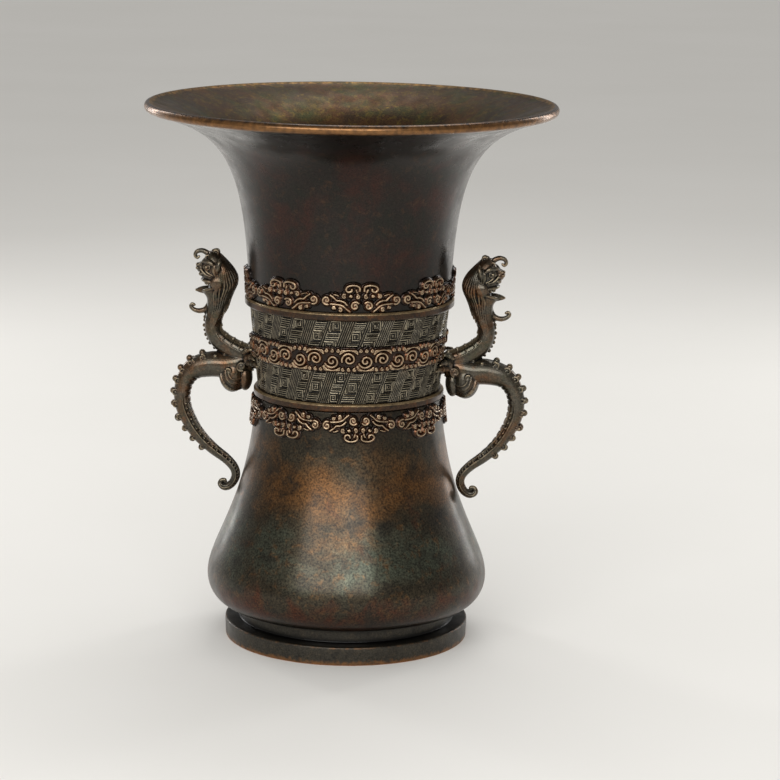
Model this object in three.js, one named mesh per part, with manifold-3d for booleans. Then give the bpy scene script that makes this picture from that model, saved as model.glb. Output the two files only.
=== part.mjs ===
// Hu vase of cast bronze: turned sections joined at ring mouldings, applied cloud-scroll borders,
// and a pair of dragon handles riveted to the waist. Millimetres, +Z up, handles on the X axis.
import * as THREE from 'three';
import { mergeVertices } from 'three/addons/utils/BufferGeometryUtils.js';
import loadManifold from 'manifold-3d';

const wasm = await loadManifold();
wasm.setup();

// General sizes
const wall = 4.2; // thickness of the cast walls
const clearance = 0.3; // gap between pieces that meet
const facets = 40; // flat sides of every turned piece

// Foot and base
const footRadius = 65;
const footBandHeight = 7.2;
const footBandSwell = 0.4; // how far the standing band bellies out
const footShoulderWidth = 3.6;
const footShoulderRise = 2.2;
const footRimWidth = 5.5; // width of the ring that stands on the floor
const footHollowDepth = 4.5; // height of the straight inner side of the standing band
const stemRadius = 57.6;
const stemHeight = 17.2;
const ledgeHeight = 7.3;
const ledgeThickness = 3;
const ledgeWidth = 4;
const basePlateThickness = 3;

// Belly
const bodyHeight = 114.2;
const bellyRadius = 75;
const bellyRise = 16.5; // height of the widest place over the underside
const shoulderRadius = 49.6;
const bodySpigotWall = 3;
const bellyTurn = 5; // how far in the flat underside begins
const bellyTurnRise = 8.2; // reach of the round turn under the widest place
const bellyFullness = 17.3; // reach of the round turn over the widest place
const shoulderSlope = 2.8; // how far the long shoulder widens
const shoulderReach = 57.9; // over this height

// Waist and the two ring mouldings
const filletHeight = 4.2;
const filletBevel = 0.7;
const lowerFilletRadius = 50.7;
const upperFilletRadius = 55.6;
const waistHeight = 44;
const waistBottomRadius = 48.6;
const waistTopRadius = 53;
const spigotWall = 2;
const socketDepth = 10;

// Neck and mouth
const neckHeight = 102.4;
const neckBottomRadius = 53.4;
const neckSpigotRadius = 50;
const lipRadius = 106.2; // to the middle of the bead
const lipBead = 2.45; // radius of the bead
const neckSlope = 2.7; // how far the long neck widens
const flareDepth = 27.8; // depth under the lip where the mouth begins to flare
const flareWidth = 37.9; // width of the flat part of the mouth
const flareDrop = 15.4; // and how far it dips

// Cloud borders and belts
const motifCount = 8;
const borderTurn = THREE.MathUtils.degToRad(11.3); // turn of the borders from the front
const cloudRelief = 2.4;
const lappetHalfWidth = 8;
// Edges of the motif: share of the lappet's half width or of the wing, then lower and upper edge
const lappetEdge = [[0, 1, 13.4], [0.25, 0.2, 14.8], [0.6, 0, 15.2], [0.92, 1, 13.8]];
const wingEdge = [
  [0, 1.6, 8.8], [0.14, 1.3, 9], [0.28, 0.6, 6.8], [0.46, 1.6, 7.2], [0.62, 2.2, 9.8], [0.82, 1.6, 10.6],
  [1, 3.6, 8.8],
];
const beltRise = 23.5; // middle of the belt over the foot of the waist
const beltHeight = 10.4;
const beltWave = 1.3;
const beltEdge = 1.5; // relief at the belt's edges
const beltScrolls = 16; // scrolls on each half belt
const scrollSteps = 3; // flat stretches along one scroll
const beltGap = 2.4; // from the belt's end to the handle's paws

// Dragon handles
const handleSeat = 12; // middle of the handle's root over the foot of the waist
const pawSpread = 6.6; // from the handle's middle plane to the middle of a paw
const tailEndRise = -66; // height of the tail's end over the root
const headRise = 44; // height of the head over the root
// Lumps: place as distance out and rise over the root, half sizes outward, sideways and upright
const pawPlace = [3.6, 1.8];
const pawSize = [3.4, 2.8, 7.2];
const haunchPlace = [8.3, -7.4];
const haunchSize = [6.6, 7.5, 9.6];
const snoutPlace = [25.2, 48.8];
const snoutSize = [3, 3.4, 2.4];
const tailCurlPlace = [9.2, -69.2];
const tailCurlSize = [2.7, 2.7, 2.7];
const tailDepth = 0.92; // sideways thickness of the tail over its height
const knobRadius = 2.1;
const knobCount = 10;
const knobSink = 0.3; // how far the middle of a knob lies inside the tail
const knobRange = [0.17, 0.64]; // shares of the tail's length where the row of knobs starts and ends
const rivetRadius = 2;
const rivetGrip = 8; // length of the shank inside the handle
const rivetHeadRadius = 5;
const rivetHeadHeight = 2.4;
const washerRadius = 6;
const washerThickness = 1.4;

// Heights that follow from the sizes above
const bodyBottom = stemHeight + clearance;
const bodyTop = bodyBottom + bodyHeight;
const lowerFilletBottom = bodyTop + clearance;
const waistBottom = lowerFilletBottom + filletHeight + clearance;
const waistTop = waistBottom + waistHeight;
const upperFilletBottom = waistTop + clearance;
const neckBottom = upperFilletBottom + filletHeight + clearance;
const neckTop = neckBottom + neckHeight;
const spigotLength = filletHeight + 2 * clearance + socketDepth;
const waistBoreRadius = waistBottomRadius - wall;
const waistSpigotRadius = waistBoreRadius + spigotWall;

const at = (radius, height) => new THREE.Vector2(radius, height);

// Turns a profile of radius and height, closed on itself or on the axis, about the Z axis
function turned(profile) {
  const onAxis = profile[0].x === 0;
  const outline = onAxis ? profile : [...profile, profile[0]];
  return new THREE.LatheGeometry(outline, facets).rotateX(Math.PI / 2);
}

// Makes a closed geometry into a solid that can be joined and cut
function toSolid(geometry) {
  const bare = geometry.clone();
  bare.deleteAttribute('normal');
  bare.deleteAttribute('uv');
  const merged = mergeVertices(bare, 1e-4);
  const index = merged.index.array;
  const triangles = [];
  for (let i = 0; i < index.length; i += 3) {
    const [a, b, c] = [index[i], index[i + 1], index[i + 2]];
    if (a !== b && b !== c && c !== a) triangles.push(a, b, c);
  }
  return new wasm.Manifold(new wasm.Mesh({
    numProp: 3,
    vertProperties: Float32Array.from(merged.attributes.position.array),
    triVerts: Uint32Array.from(triangles),
  }));
}

function toGeometry(solid) {
  const mesh = solid.getMesh();
  const geometry = new THREE.BufferGeometry();
  geometry.setAttribute('position', new THREE.Float32BufferAttribute(mesh.vertProperties, 3));
  geometry.setIndex(Array.from(mesh.triVerts));
  geometry.computeVertexNormals();
  return geometry;
}

const joined = (geometries) => geometries.map(toSolid).reduce((sum, piece) => sum.add(piece));

// Skins a row of rings, each turning right-handed about the way on, and closes both ends with a cap
// or, for a ring-shaped piece, joins the last ring to the first
function loft(rings, endless = false) {
  const sides = rings[0].length;
  const vertices = rings.flat();
  const index = [];
  const spans = endless ? rings.length : rings.length - 1;
  for (let span = 0; span < spans; span += 1) {
    const here = span * sides;
    const ahead = ((span + 1) % rings.length) * sides;
    for (let side = 0; side < sides; side += 1) {
      const next = (side + 1) % sides;
      index.push(here + side, here + next, ahead + next);
      index.push(here + side, ahead + next, ahead + side);
    }
  }
  if (!endless) {
    const middle = (ring) => ring.reduce((sum, p) => sum.add(p), new THREE.Vector3()).divideScalar(sides);
    const last = (rings.length - 1) * sides;
    const startCap = vertices.push(middle(rings[0])) - 1;
    const endCap = vertices.push(middle(rings.at(-1))) - 1;
    for (let side = 0; side < sides; side += 1) {
      const next = (side + 1) % sides;
      index.push(startCap, next, side, endCap, last + side, last + next);
    }
  }
  const geometry = new THREE.BufferGeometry().setFromPoints(vertices);
  geometry.setIndex(index);
  geometry.computeVertexNormals();
  return geometry;
}

// Radius of an outline of points at a height
function radiusOn(points, height) {
  const rising = points[0].y < points.at(-1).y ? points : [...points].reverse();
  const above = rising.findIndex((p) => p.y >= height);
  if (above <= 0) return above === 0 ? rising[0].x : rising.at(-1).x;
  const [low, high] = [rising[above - 1], rising[above]];
  return THREE.MathUtils.mapLinear(height, low.y, high.y, low.x, high.x);
}

// Moves a curve's points towards the hollow of the vase by one wall
function innerSide(curve, steps) {
  return Array.from({ length: steps + 1 }, (_, i) => {
    const tangent = curve.getTangent(i / steps);
    return curve.getPoint(i / steps).add(at(-tangent.y, tangent.x).multiplyScalar(wall));
  });
}

// Outer curves of the belly, from the stem up, and of the neck, from the fillet to the lip
const underside = new THREE.CubicBezierCurve(
  at(stemRadius, bodyBottom),
  at(bellyRadius - bellyTurn, bodyBottom),
  at(bellyRadius, bodyBottom + bellyRise - bellyTurnRise),
  at(bellyRadius, bodyBottom + bellyRise),
);
const flank = new THREE.CubicBezierCurve(
  at(bellyRadius, bodyBottom + bellyRise),
  at(bellyRadius, bodyBottom + bellyRise + bellyFullness),
  at(shoulderRadius + shoulderSlope, bodyTop - shoulderReach),
  at(shoulderRadius, bodyTop),
);
const trumpet = new THREE.CubicBezierCurve(
  at(neckBottomRadius, neckBottom),
  at(neckBottomRadius + neckSlope, neckTop - flareDepth),
  at(lipRadius - flareWidth, neckTop - flareDrop),
  at(lipRadius, neckTop - 2 * lipBead),
);
const flankOutline = flank.getPoints(8);
const trumpetOutline = trumpet.getPoints(9);
const waistRadiusAt = (height) => THREE.MathUtils.mapLinear(
  height, waistBottom, waistTop, waistBottomRadius, waistTopRadius,
);

// Foot ring: standing band, rounded shoulder, cove and stem, with a ledge inside for the base plate
const seatRadius = stemRadius - wall;
const footShoulder = new THREE.EllipseCurve(
  footRadius - footShoulderWidth, footBandHeight, footShoulderWidth, footShoulderRise, 0, Math.PI / 2,
);
const footRing = turned([
  at(footRadius - footRimWidth, 0),
  at(footRadius, 0),
  at(footRadius + footBandSwell, footBandHeight / 2),
  ...footShoulder.getPoints(2),
  at(stemRadius, ledgeHeight + ledgeThickness),
  at(stemRadius, stemHeight),
  at(seatRadius, stemHeight),
  at(seatRadius, ledgeHeight + ledgeThickness),
  at(seatRadius - ledgeWidth, ledgeHeight + ledgeThickness),
  at(seatRadius - ledgeWidth, ledgeHeight),
  at(seatRadius, ledgeHeight),
  at(footRadius - footRimWidth, footHollowDepth),
]);

// Base plate: a disc lying on the ledge of the foot ring
const plateBottom = ledgeHeight + ledgeThickness + clearance;
const plateTop = plateBottom + basePlateThickness;
const basePlate = turned([
  at(0, plateBottom),
  at(seatRadius - clearance, plateBottom),
  at(seatRadius - clearance, plateTop),
  at(0, plateTop),
]);

// Body shell: pear-shaped belly with a spigot that stands in the stem on the base plate
const bodySpigotRadius = seatRadius - clearance;
const bodyBore = bodySpigotRadius - bodySpigotWall;
const bodySocketRadius = waistSpigotRadius + clearance;
const bodyFloor = bodyBottom + wall;
const insideOfBelly = [
  ...innerSide(underside, 3).filter((p) => p.x > stemRadius),
  ...innerSide(flank, 6).slice(1),
];
const bodyShell = turned([
  at(bodyBore, plateTop + clearance),
  at(bodySpigotRadius, plateTop + clearance),
  at(bodySpigotRadius, bodyBottom),
  ...underside.getPoints(5),
  ...flankOutline.slice(1),
  at(bodySocketRadius, bodyTop),
  ...insideOfBelly.reverse().filter((p) => p.x > bodySocketRadius),
  at(bodyBore, bodyFloor),
]);

// Ring moulding with bevelled outer edges that covers a seam
function fillet(bore, radius, bottom) {
  const top = bottom + filletHeight;
  return turned([
    at(bore, bottom),
    at(radius - filletBevel, bottom),
    at(radius, bottom + filletBevel),
    at(radius, top - filletBevel),
    at(radius - filletBevel, top),
    at(bore, top),
  ]);
}
const neckSocketRadius = neckSpigotRadius + clearance;
const lowerFillet = fillet(bodySocketRadius, lowerFilletRadius, lowerFilletBottom);
const upperFillet = fillet(neckSocketRadius, upperFilletRadius, upperFilletBottom);

// Waist shell: a slightly widening drum, with a spigot below and a socket above
const socketFloor = waistTop - socketDepth - clearance;
const waistDrum = turned([
  at(waistBoreRadius, waistBottom - spigotLength),
  at(waistSpigotRadius, waistBottom - spigotLength),
  at(waistSpigotRadius, waistBottom),
  at(waistBottomRadius, waistBottom),
  at(waistTopRadius, waistTop),
  at(neckSocketRadius, waistTop),
  at(neckSocketRadius, socketFloor),
  at(waistRadiusAt(socketFloor) - wall, socketFloor),
  at(waistBoreRadius, waistBottom),
]);

// Neck: a spigot in the waist, a long neck and a wide trumpet mouth with a beaded lip
const lip = new THREE.EllipseCurve(
  lipRadius, neckTop - lipBead, lipBead, lipBead, -Math.PI / 2, Math.PI * 0.75,
);
const neckTrumpet = turned([
  at(neckSpigotRadius - spigotWall, neckBottom - spigotLength),
  at(neckSpigotRadius, neckBottom - spigotLength),
  at(neckSpigotRadius, neckBottom),
  ...trumpetOutline.slice(0, -1),
  ...lip.getPoints(5),
  ...innerSide(trumpet, 7).slice(1, -1).reverse(),
  at(neckSpigotRadius - spigotWall, neckBottom),
]);

// Solid that fills an outline of the vase and one clearance round it
function fittingCutter(outline) {
  const grown = outline.map((p) => at(p.x + clearance, p.y));
  const cutter = [at(0, grown[0].y), ...grown, at(0, grown.at(-1).y)];
  return toSolid(turned(cutter));
}

// Stations of one cloud motif from the middle of its lappet to the joint with the next motif
function motifStations(halfPitch) {
  const wing = halfPitch - lappetHalfWidth;
  const lappet = lappetEdge.map(([share, low, high]) => [share * lappetHalfWidth, low, high]);
  return [...lappet, ...wingEdge.map(([share, low, high]) => [lappetHalfWidth + share * wing, low, high])];
}

// Cloud border: a ring of relief with a scalloped edge, standing up from a height (way 1) or
// hanging down from it (way -1)
function cloudBorder(outline, height, way) {
  const girth = radiusOn(outline, height);
  const pitch = (2 * Math.PI) / motifCount;
  const half = motifStations((girth * pitch) / 2);
  const mirrored = half.slice(1, -1).reverse().map(([along, low, high]) => [-along, low, high]);
  const rings = [];
  for (let motif = 0; motif < motifCount; motif += 1) {
    const middle = borderTurn - Math.PI / 2 + motif * pitch;
    for (const [along, low, high] of [...mirrored, ...half]) {
      const angle = middle + along / girth;
      const edges = way > 0 ? [high, low] : [-low, -high];
      const section = [[clearance, 0], [cloudRelief, 0], [cloudRelief, 1], [clearance, 1]];
      rings.push(section.map(([out, edge]) => {
        const z = height + edges[edge];
        const radius = radiusOn(outline, z) + out;
        return new THREE.Vector3(radius * Math.cos(angle), radius * Math.sin(angle), z);
      }));
    }
  }
  return loft(rings, true);
}
const upperCloudBorder = cloudBorder(trumpetOutline, neckBottom, 1);
const lowerCloudBorder = cloudBorder(flankOutline, bodyTop, -1);

// Half of the waist belt: a band with scalloped edges, from one handle round to the other
const beltMiddle = waistBottom + beltRise;
const beltEnd = (pawSpread + pawSize[1] + beltGap) / waistRadiusAt(beltMiddle);
function beltHalf(startAngle) {
  const steps = beltScrolls * scrollSteps;
  const rings = [];
  for (let step = 0; step <= steps; step += 1) {
    const angle = startAngle + THREE.MathUtils.lerp(beltEnd, Math.PI - beltEnd, step / steps);
    const scallop = Math.abs(Math.sin((step * Math.PI) / scrollSteps)) * beltWave;
    const top = beltMiddle + beltHeight / 2 + scallop;
    const bottom = beltMiddle - beltHeight / 2 - scallop;
    const section = [
      [clearance, top], [beltEdge, top], [cloudRelief, beltMiddle], [beltEdge, bottom], [clearance, bottom],
    ];
    rings.push(section.map(([out, z]) => {
      const radius = waistRadiusAt(z) + out;
      return new THREE.Vector3(radius * Math.cos(angle), radius * Math.sin(angle), z);
    }));
  }
  return loft(rings);
}

// Dragon handle, worked out on the +X side. Its stations are given as the distance out from a line
// beside the vase, the rise over the handle's root, and the half thickness. The line runs straight
// from the belly at the tail's end to the waist at the root, and on to the neck at the head.
const rootHeight = waistBottom + handleSeat;
const rootRadius = waistRadiusAt(rootHeight);
const tailEndRadius = radiusOn(flankOutline, rootHeight + tailEndRise);
const headRadius = radiusOn(trumpetOutline, rootHeight + headRise);
function sideRadius(rise) {
  if (rise < 0) return THREE.MathUtils.mapLinear(rise, 0, tailEndRise, rootRadius, tailEndRadius);
  return THREE.MathUtils.mapLinear(rise, 0, headRise, rootRadius, headRadius);
}
const station = ([out, rise, half]) => new THREE.Vector3(sideRadius(rise) + out, half, rootHeight + rise);

// Tapering round bar through stations; the curve's Y holds the half thickness
function bar(stations, steps, sides, depth = 1) {
  const curve = new THREE.CatmullRomCurve3(stations.map(station));
  const rings = [];
  for (let step = 0; step <= steps; step += 1) {
    const here = curve.getPoint(step / steps);
    const way = curve.getTangent(step / steps).setY(0).normalize();
    const normal = new THREE.Vector3(way.z, 0, -way.x);
    rings.push(Array.from({ length: sides }, (_, side) => {
      const turn = (side * 2 * Math.PI) / sides;
      const ringPoint = new THREE.Vector3(here.x, 0, here.z);
      ringPoint.addScaledVector(normal, here.y * Math.cos(turn));
      return ringPoint.setY(here.y * depth * Math.sin(turn));
    }));
  }
  return loft(rings);
}

// Egg-shaped lump with half sizes outward, sideways and upright
function lump([out, rise], halfSizes, sideways = 0, sides = 6) {
  return new THREE.SphereGeometry(1, sides, 5)
    .rotateX(Math.PI / 2)
    .scale(...halfSizes)
    .translate(sideRadius(rise) + out, sideways, rootHeight + rise);
}

const neckStations = [
  [-2, 0.5, 5.6], [6.7, 3.2, 5.4], [13, 6.2, 5.1], [18.9, 10.6, 4.9], [21.4, 16.2, 4.7], [21.1, 23, 4.6],
];
const tailStations = [
  [5.9, -0.5, 6.6], [15.7, -2.7, 7], [23.7, -2.8, 6.9], [31.4, -4.8, 5.9], [35.9, -10, 4.8],
  [37.4, -17.5, 4.3], [35.8, -26, 4.2], [31, -34.8, 4], [24.8, -42.4, 3.6], [17.1, -49, 3.1],
  [9.3, -54.4, 2.7], [4.5, -59, 2.5], [2.8, -63.2, 2.4], [3.6, -67.6, 2.3], [7.1, -70.4, 2.1],
];
// Head and mane by height: rise, then the back and the front as distances out, then the half depth
const headSections = [
  [21, 16.6, 25.9, 4.6], [27, 13.8, 24.4, 5.2], [33, 11.2, 24.8, 5.9], [38, 8.5, 25.5, 6.5],
  [43.5, 6.3, 25.9, 7], [48.5, 7.7, 26.8, 7], [53, 10.8, 24.5, 6.2], [56.5, 14, 22, 4.6],
  [58.3, 15.8, 20, 2.6],
];
const crestStations = [
  [19.6, 54.5, 2], [21.3, 58.4, 1.7], [24.3, 59.8, 1.5], [26.8, 58.4, 1.3], [26.8, 56.2, 1.1],
];
const backCurlStations = [[17.6, 56, 1.9], [15.9, 58.6, 1.6], [17.9, 59.9, 1.2]];
const tongueStations = [[23.2, 37.5, 2.8], [26.5, 36.6, 1.9], [29.5, 36.5, 1]];
const whiskerStations = [
  [22.9, 31, 2], [24.2, 26.6, 1.7], [28, 24.7, 1.5], [31.5, 25.6, 1.3], [32.5, 27.8, 1.1],
];

function headAndMane() {
  const sides = 8;
  return loft(headSections.map(([rise, back, front, depth]) => {
    const z = rootHeight + rise;
    const middle = sideRadius(rise) + (back + front) / 2;
    return Array.from({ length: sides }, (_, side) => {
      const turn = (side * 2 * Math.PI) / sides;
      const x = middle + ((front - back) / 2) * Math.cos(turn);
      return new THREE.Vector3(x, depth * Math.sin(turn), z);
    });
  }));
}

// Row of knobs along the back of the tail, from its top to the lower third
function tailKnobs() {
  const curve = new THREE.CatmullRomCurve3(tailStations.map(station));
  return Array.from({ length: knobCount }, (_, knob) => {
    const along = THREE.MathUtils.lerp(...knobRange, knob / (knobCount - 1));
    const here = curve.getPoint(along);
    const way = curve.getTangent(along).setY(0).normalize();
    const outside = here.y - knobSink;
    return new THREE.IcosahedronGeometry(knobRadius, 0)
      .translate(here.x - way.z * outside, 0, here.z + way.x * outside);
  });
}

// Frame of a rivet: its axis is square to the sloping wall of the waist at the handle's root
const wallSlope = Math.atan2(waistTopRadius - waistBottomRadius, waistHeight);
const rivetFrame = new THREE.Matrix4()
  .makeTranslation(rootRadius, 0, rootHeight)
  .multiply(new THREE.Matrix4().makeRotationY(wallSlope));

// Turned piece about the rivet's axis, with its length measured outward from the face of the wall
function onRivetAxis(profile) {
  const sides = 10;
  const outline = profile[0].x === 0 ? profile : [...profile, profile[0]];
  return new THREE.LatheGeometry(outline, sides).rotateZ(-Math.PI / 2).applyMatrix4(rivetFrame);
}
const rodBetween = (radius, from, to) => onRivetAxis(
  [at(0, from), at(radius, from), at(radius, to), at(0, to)],
);

const boreRadius = rivetRadius + clearance;
const rivetHole = rodBetween(boreRadius, -2 * wall, rivetGrip + clearance);
const waistFacing = [at(waistBottomRadius, waistBottom), at(waistTopRadius, waistTop)];

function dragonHandle() {
  const paws = [-pawSpread, pawSpread].map((sideways) => lump(pawPlace, pawSize, sideways));
  const haunch = lump(haunchPlace, haunchSize, 0, 8);
  const snout = lump(snoutPlace, snoutSize);
  const tailCurl = lump(tailCurlPlace, tailCurlSize);
  const pieces = [
    bar(neckStations, 6, 8), bar(tailStations, 17, 8, tailDepth), headAndMane(), bar(crestStations, 5, 5),
    bar(backCurlStations, 3, 5), bar(tongueStations, 2, 5), bar(whiskerStations, 5, 5),
    haunch, snout, tailCurl, ...paws, ...tailKnobs(),
  ];
  return toGeometry(joined(pieces).subtract(fittingCutter(waistFacing)).subtract(toSolid(rivetHole)));
}

// Rivet with a domed head inside the waist, and the flat washer under its head, which clears the
// hollow curve of the wall at its edge
const hollowRadius = rootRadius - wall;
const flatRadius = hollowRadius * Math.cos(Math.PI / facets);
const washerSag = hollowRadius - Math.sqrt(flatRadius ** 2 - washerRadius ** 2);
const washerFace = -wall - clearance - washerSag;
const headFace = washerFace - washerThickness - clearance;
const rivetDome = new THREE.EllipseCurve(0, headFace, rivetHeadRadius, rivetHeadHeight, -Math.PI / 2, 0);
const rivet = onRivetAxis([
  ...rivetDome.getPoints(3), at(rivetRadius, headFace), at(rivetRadius, rivetGrip), at(0, rivetGrip),
]);
const washer = onRivetAxis([
  at(boreRadius, washerFace - washerThickness),
  at(washerRadius, washerFace - washerThickness),
  at(washerRadius, washerFace),
  at(boreRadius, washerFace),
]);

const oppositeHole = rivetHole.clone().rotateZ(Math.PI);
const waistShell = toGeometry(
  toSolid(waistDrum).subtract(toSolid(rivetHole)).subtract(toSolid(oppositeHole)),
);

// Finishes
const bronze = (color, roughness) => ({ color, roughness, metalness: 0.85 });
const darkBronze = bronze(0x2c241d, 0.38);
const oliveBronze = bronze(0x4a3d2b, 0.36);
const rubbedBronze = bronze(0x6a4a2e, 0.34);
const greyBronze = bronze(0x55503f, 0.42);

const vase = new THREE.Group();
function addPiece(parent, name, geometry, finish) {
  const mesh = new THREE.Mesh(geometry, new THREE.MeshStandardMaterial(finish));
  mesh.name = name;
  parent.add(mesh);
}
addPiece(vase, 'foot_ring', footRing, greyBronze);
addPiece(vase, 'base_plate', basePlate, darkBronze);
addPiece(vase, 'body_shell', bodyShell, oliveBronze);
addPiece(vase, 'lower_fillet', lowerFillet, rubbedBronze);
addPiece(vase, 'lower_cloud_border', lowerCloudBorder, rubbedBronze);
addPiece(vase, 'waist_shell', waistShell, greyBronze);
addPiece(vase, 'waist_belt_front', beltHalf(-Math.PI), rubbedBronze);
addPiece(vase, 'waist_belt_rear', beltHalf(0), rubbedBronze);
addPiece(vase, 'upper_fillet', upperFillet, rubbedBronze);
addPiece(vase, 'upper_cloud_border', upperCloudBorder, rubbedBronze);
addPiece(vase, 'neck_trumpet', neckTrumpet, darkBronze);

const handle = dragonHandle();
for (const [side, turn] of [['right', 0], ['left', Math.PI]]) {
  const mounted = new THREE.Group();
  mounted.rotation.z = turn;
  addPiece(mounted, `${side}_dragon_handle`, handle, greyBronze);
  addPiece(mounted, `${side}_handle_rivet`, rivet, darkBronze);
  addPiece(mounted, `${side}_rivet_washer`, washer, darkBronze);
  vase.add(mounted);
}

export default vase;
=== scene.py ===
# %% [markdown]
# # A bronze hu vase with dragon handles
# The vase is a cast bronze vessel made of several sections: a foot, a pear-shaped belly, a tapering
# waist and a neck that opens like a trumpet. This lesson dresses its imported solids. Each step makes one
# piece or one finish in the frame of the solids, so nothing has to be fitted by eye.

# %% Load the frame
import math

import bmesh
import bpy
import numpy as np
from mathutils import Matrix, Vector


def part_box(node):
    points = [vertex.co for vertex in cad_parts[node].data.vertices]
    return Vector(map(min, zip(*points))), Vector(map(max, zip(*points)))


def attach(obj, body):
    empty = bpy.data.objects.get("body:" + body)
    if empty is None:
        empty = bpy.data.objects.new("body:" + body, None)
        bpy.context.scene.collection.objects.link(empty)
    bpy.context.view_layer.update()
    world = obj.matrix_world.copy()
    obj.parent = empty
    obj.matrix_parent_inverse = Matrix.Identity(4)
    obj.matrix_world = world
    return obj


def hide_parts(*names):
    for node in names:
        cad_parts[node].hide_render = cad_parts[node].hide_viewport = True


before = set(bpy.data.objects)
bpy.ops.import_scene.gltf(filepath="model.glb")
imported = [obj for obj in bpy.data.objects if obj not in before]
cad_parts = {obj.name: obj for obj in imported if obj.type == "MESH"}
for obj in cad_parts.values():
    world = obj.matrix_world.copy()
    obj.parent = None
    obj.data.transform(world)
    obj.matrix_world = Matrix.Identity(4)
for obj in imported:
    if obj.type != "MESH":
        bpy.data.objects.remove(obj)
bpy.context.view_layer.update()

MM = 0.001  # the sizes below are written in millimetres, and Blender works in metres
scene = bpy.context.scene
scene.view_settings.view_transform = "Standard"
print("solids in the frame:", len(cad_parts))

# %% [markdown]
# ## The camera
# The photograph was taken with a long lens, a little from above. The vase stands slightly turned, with
# its right handle nearer to the lens. The vase stays square in its frame here, so the camera walks
# round it by that angle instead.

# %% Camera
image_side = 780  # pixels
focal_length = 2932.1  # pixels
camera_back = 1533.9
camera_height = 453.2
camera_pitch = math.radians(11.757)
camera_pan = math.radians(0.825)
camera_roll = math.radians(0.856)
vase_turn = math.radians(4.8)

camera_data = bpy.data.cameras.new("camera")
camera_data.sensor_width = 36
camera_data.lens = camera_data.sensor_width * focal_length / image_side
camera = bpy.data.objects.new("camera", camera_data)
scene.collection.objects.link(camera)
stand = Matrix.Translation((0, -camera_back * MM, camera_height * MM))
tilt = Matrix.Rotation(math.pi / 2 - camera_pitch, 4, "X")
aim = Matrix.Rotation(-camera_pan, 4, "Z") @ tilt @ Matrix.Rotation(camera_roll, 4, "Z")
camera.matrix_world = Matrix.Rotation(vase_turn, 4, "Z") @ stand @ aim
scene.camera = camera
print("lens:", round(camera_data.lens, 1), "mm")

# %% [markdown]
# ## Colours and nodes
# Colours are written as the hex values that a picture editor shows. Blender's shaders work with linear
# light, so one function turns them over. A second small function adds a node, sets it and links it,
# which keeps the finishes below short enough to read.

# %% Colour and node helpers
def linear(hex_code):
    """Linear red, green, blue and alpha of an sRGB hex colour"""
    shares = [int(hex_code[i:i + 2], 16) / 255 for i in (1, 3, 5)]
    return [c / 12.92 if c <= 0.04045 else ((c + 0.055) / 1.055) ** 2.4 for c in shares] + [1.0]


def add_node(tree, kind, inputs=None, **settings):
    """Adds a shader node, sets its properties, and sets or links its inputs"""
    node = tree.nodes.new("ShaderNode" + kind)
    for name, value in settings.items():
        setattr(node, name, value)
    for socket, value in (inputs or {}).items():
        if isinstance(value, bpy.types.NodeSocket):
            tree.links.new(value, node.inputs[socket])
        else:
            node.inputs[socket].default_value = value
    return node


MIX_A, MIX_B, MIX_RESULT = 6, 7, 2  # colour sockets of the Mix node
print("black is", linear("#000000")[:3], "and white is", linear("#ffffff")[:3])

# %% [markdown]
# ## Floor and light
# Dark bronze shows its shape by what it mirrors. A pale floor and a pale grey room give soft, even
# reflections. One broad softbox in front makes the wide highlight on the belly, two narrow strips behind
# draw thin bright edges, and a lamp above reaches into the mouth. Their power is low, so that a colour
# looks about as it was written. The room is dimmer for mirrored rays, as a studio with dark walls would
# be, so the bronze keeps its deep tones.

# %% Floor
floor_radius = 12.0  # metres
paper_cloud = 333.3  # real fibres are too fine to show, so the drawn mottle is far wider
floor_shape = bmesh.new()
bmesh.ops.create_circle(floor_shape, cap_ends=True, radius=floor_radius, segments=128)
floor_mesh = bpy.data.meshes.new("floor")
floor_shape.to_mesh(floor_mesh)
floor_shape.free()
floor = bpy.data.objects.new("floor", floor_mesh)
scene.collection.objects.link(floor)

# Matt studio paper: an even pale grey that scatters light and mirrors nothing
paper = bpy.data.materials.new("matt_studio_paper")
paper.use_nodes = True
paper_shader = paper.node_tree.nodes["Principled BSDF"]
paper_shader.inputs["Roughness"].default_value = 0.7
paper_place = add_node(paper.node_tree, "TexCoord").outputs["Object"]
paper_fibre = add_node(paper.node_tree, "TexNoise", {
    "Vector": paper_place, "Scale": 1 / (paper_cloud * MM), "Detail": 4.0})
paper_tone = add_node(paper.node_tree, "Mix", {
    0: paper_fibre.outputs["Fac"], MIX_A: linear("#dddbd6"), MIX_B: linear("#e4e2de")}, data_type="RGBA")
paper.node_tree.links.new(paper_tone.outputs[MIX_RESULT], paper_shader.inputs["Base Color"])
floor_mesh.materials.append(paper)
print("floor radius:", floor_radius, "m")

# %% Light
room_strength = 0.9
mirrored_strength = 0.34
light_target = Vector((0, 0, 0.15))  # metres, about the middle of the vase

world = bpy.data.worlds.new("pale_room")
world.use_nodes = True
room = world.node_tree.nodes["Background"]
room.inputs["Color"].default_value = linear("#dedddb")
mirrored = add_node(world.node_tree, "LightPath").outputs["Is Glossy Ray"]
room_level = add_node(world.node_tree, "MapRange", {
    "Value": mirrored, "To Min": room_strength, "To Max": mirrored_strength})
world.node_tree.links.new(room_level.outputs["Result"], room.inputs["Strength"])
scene.world = world


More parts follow.
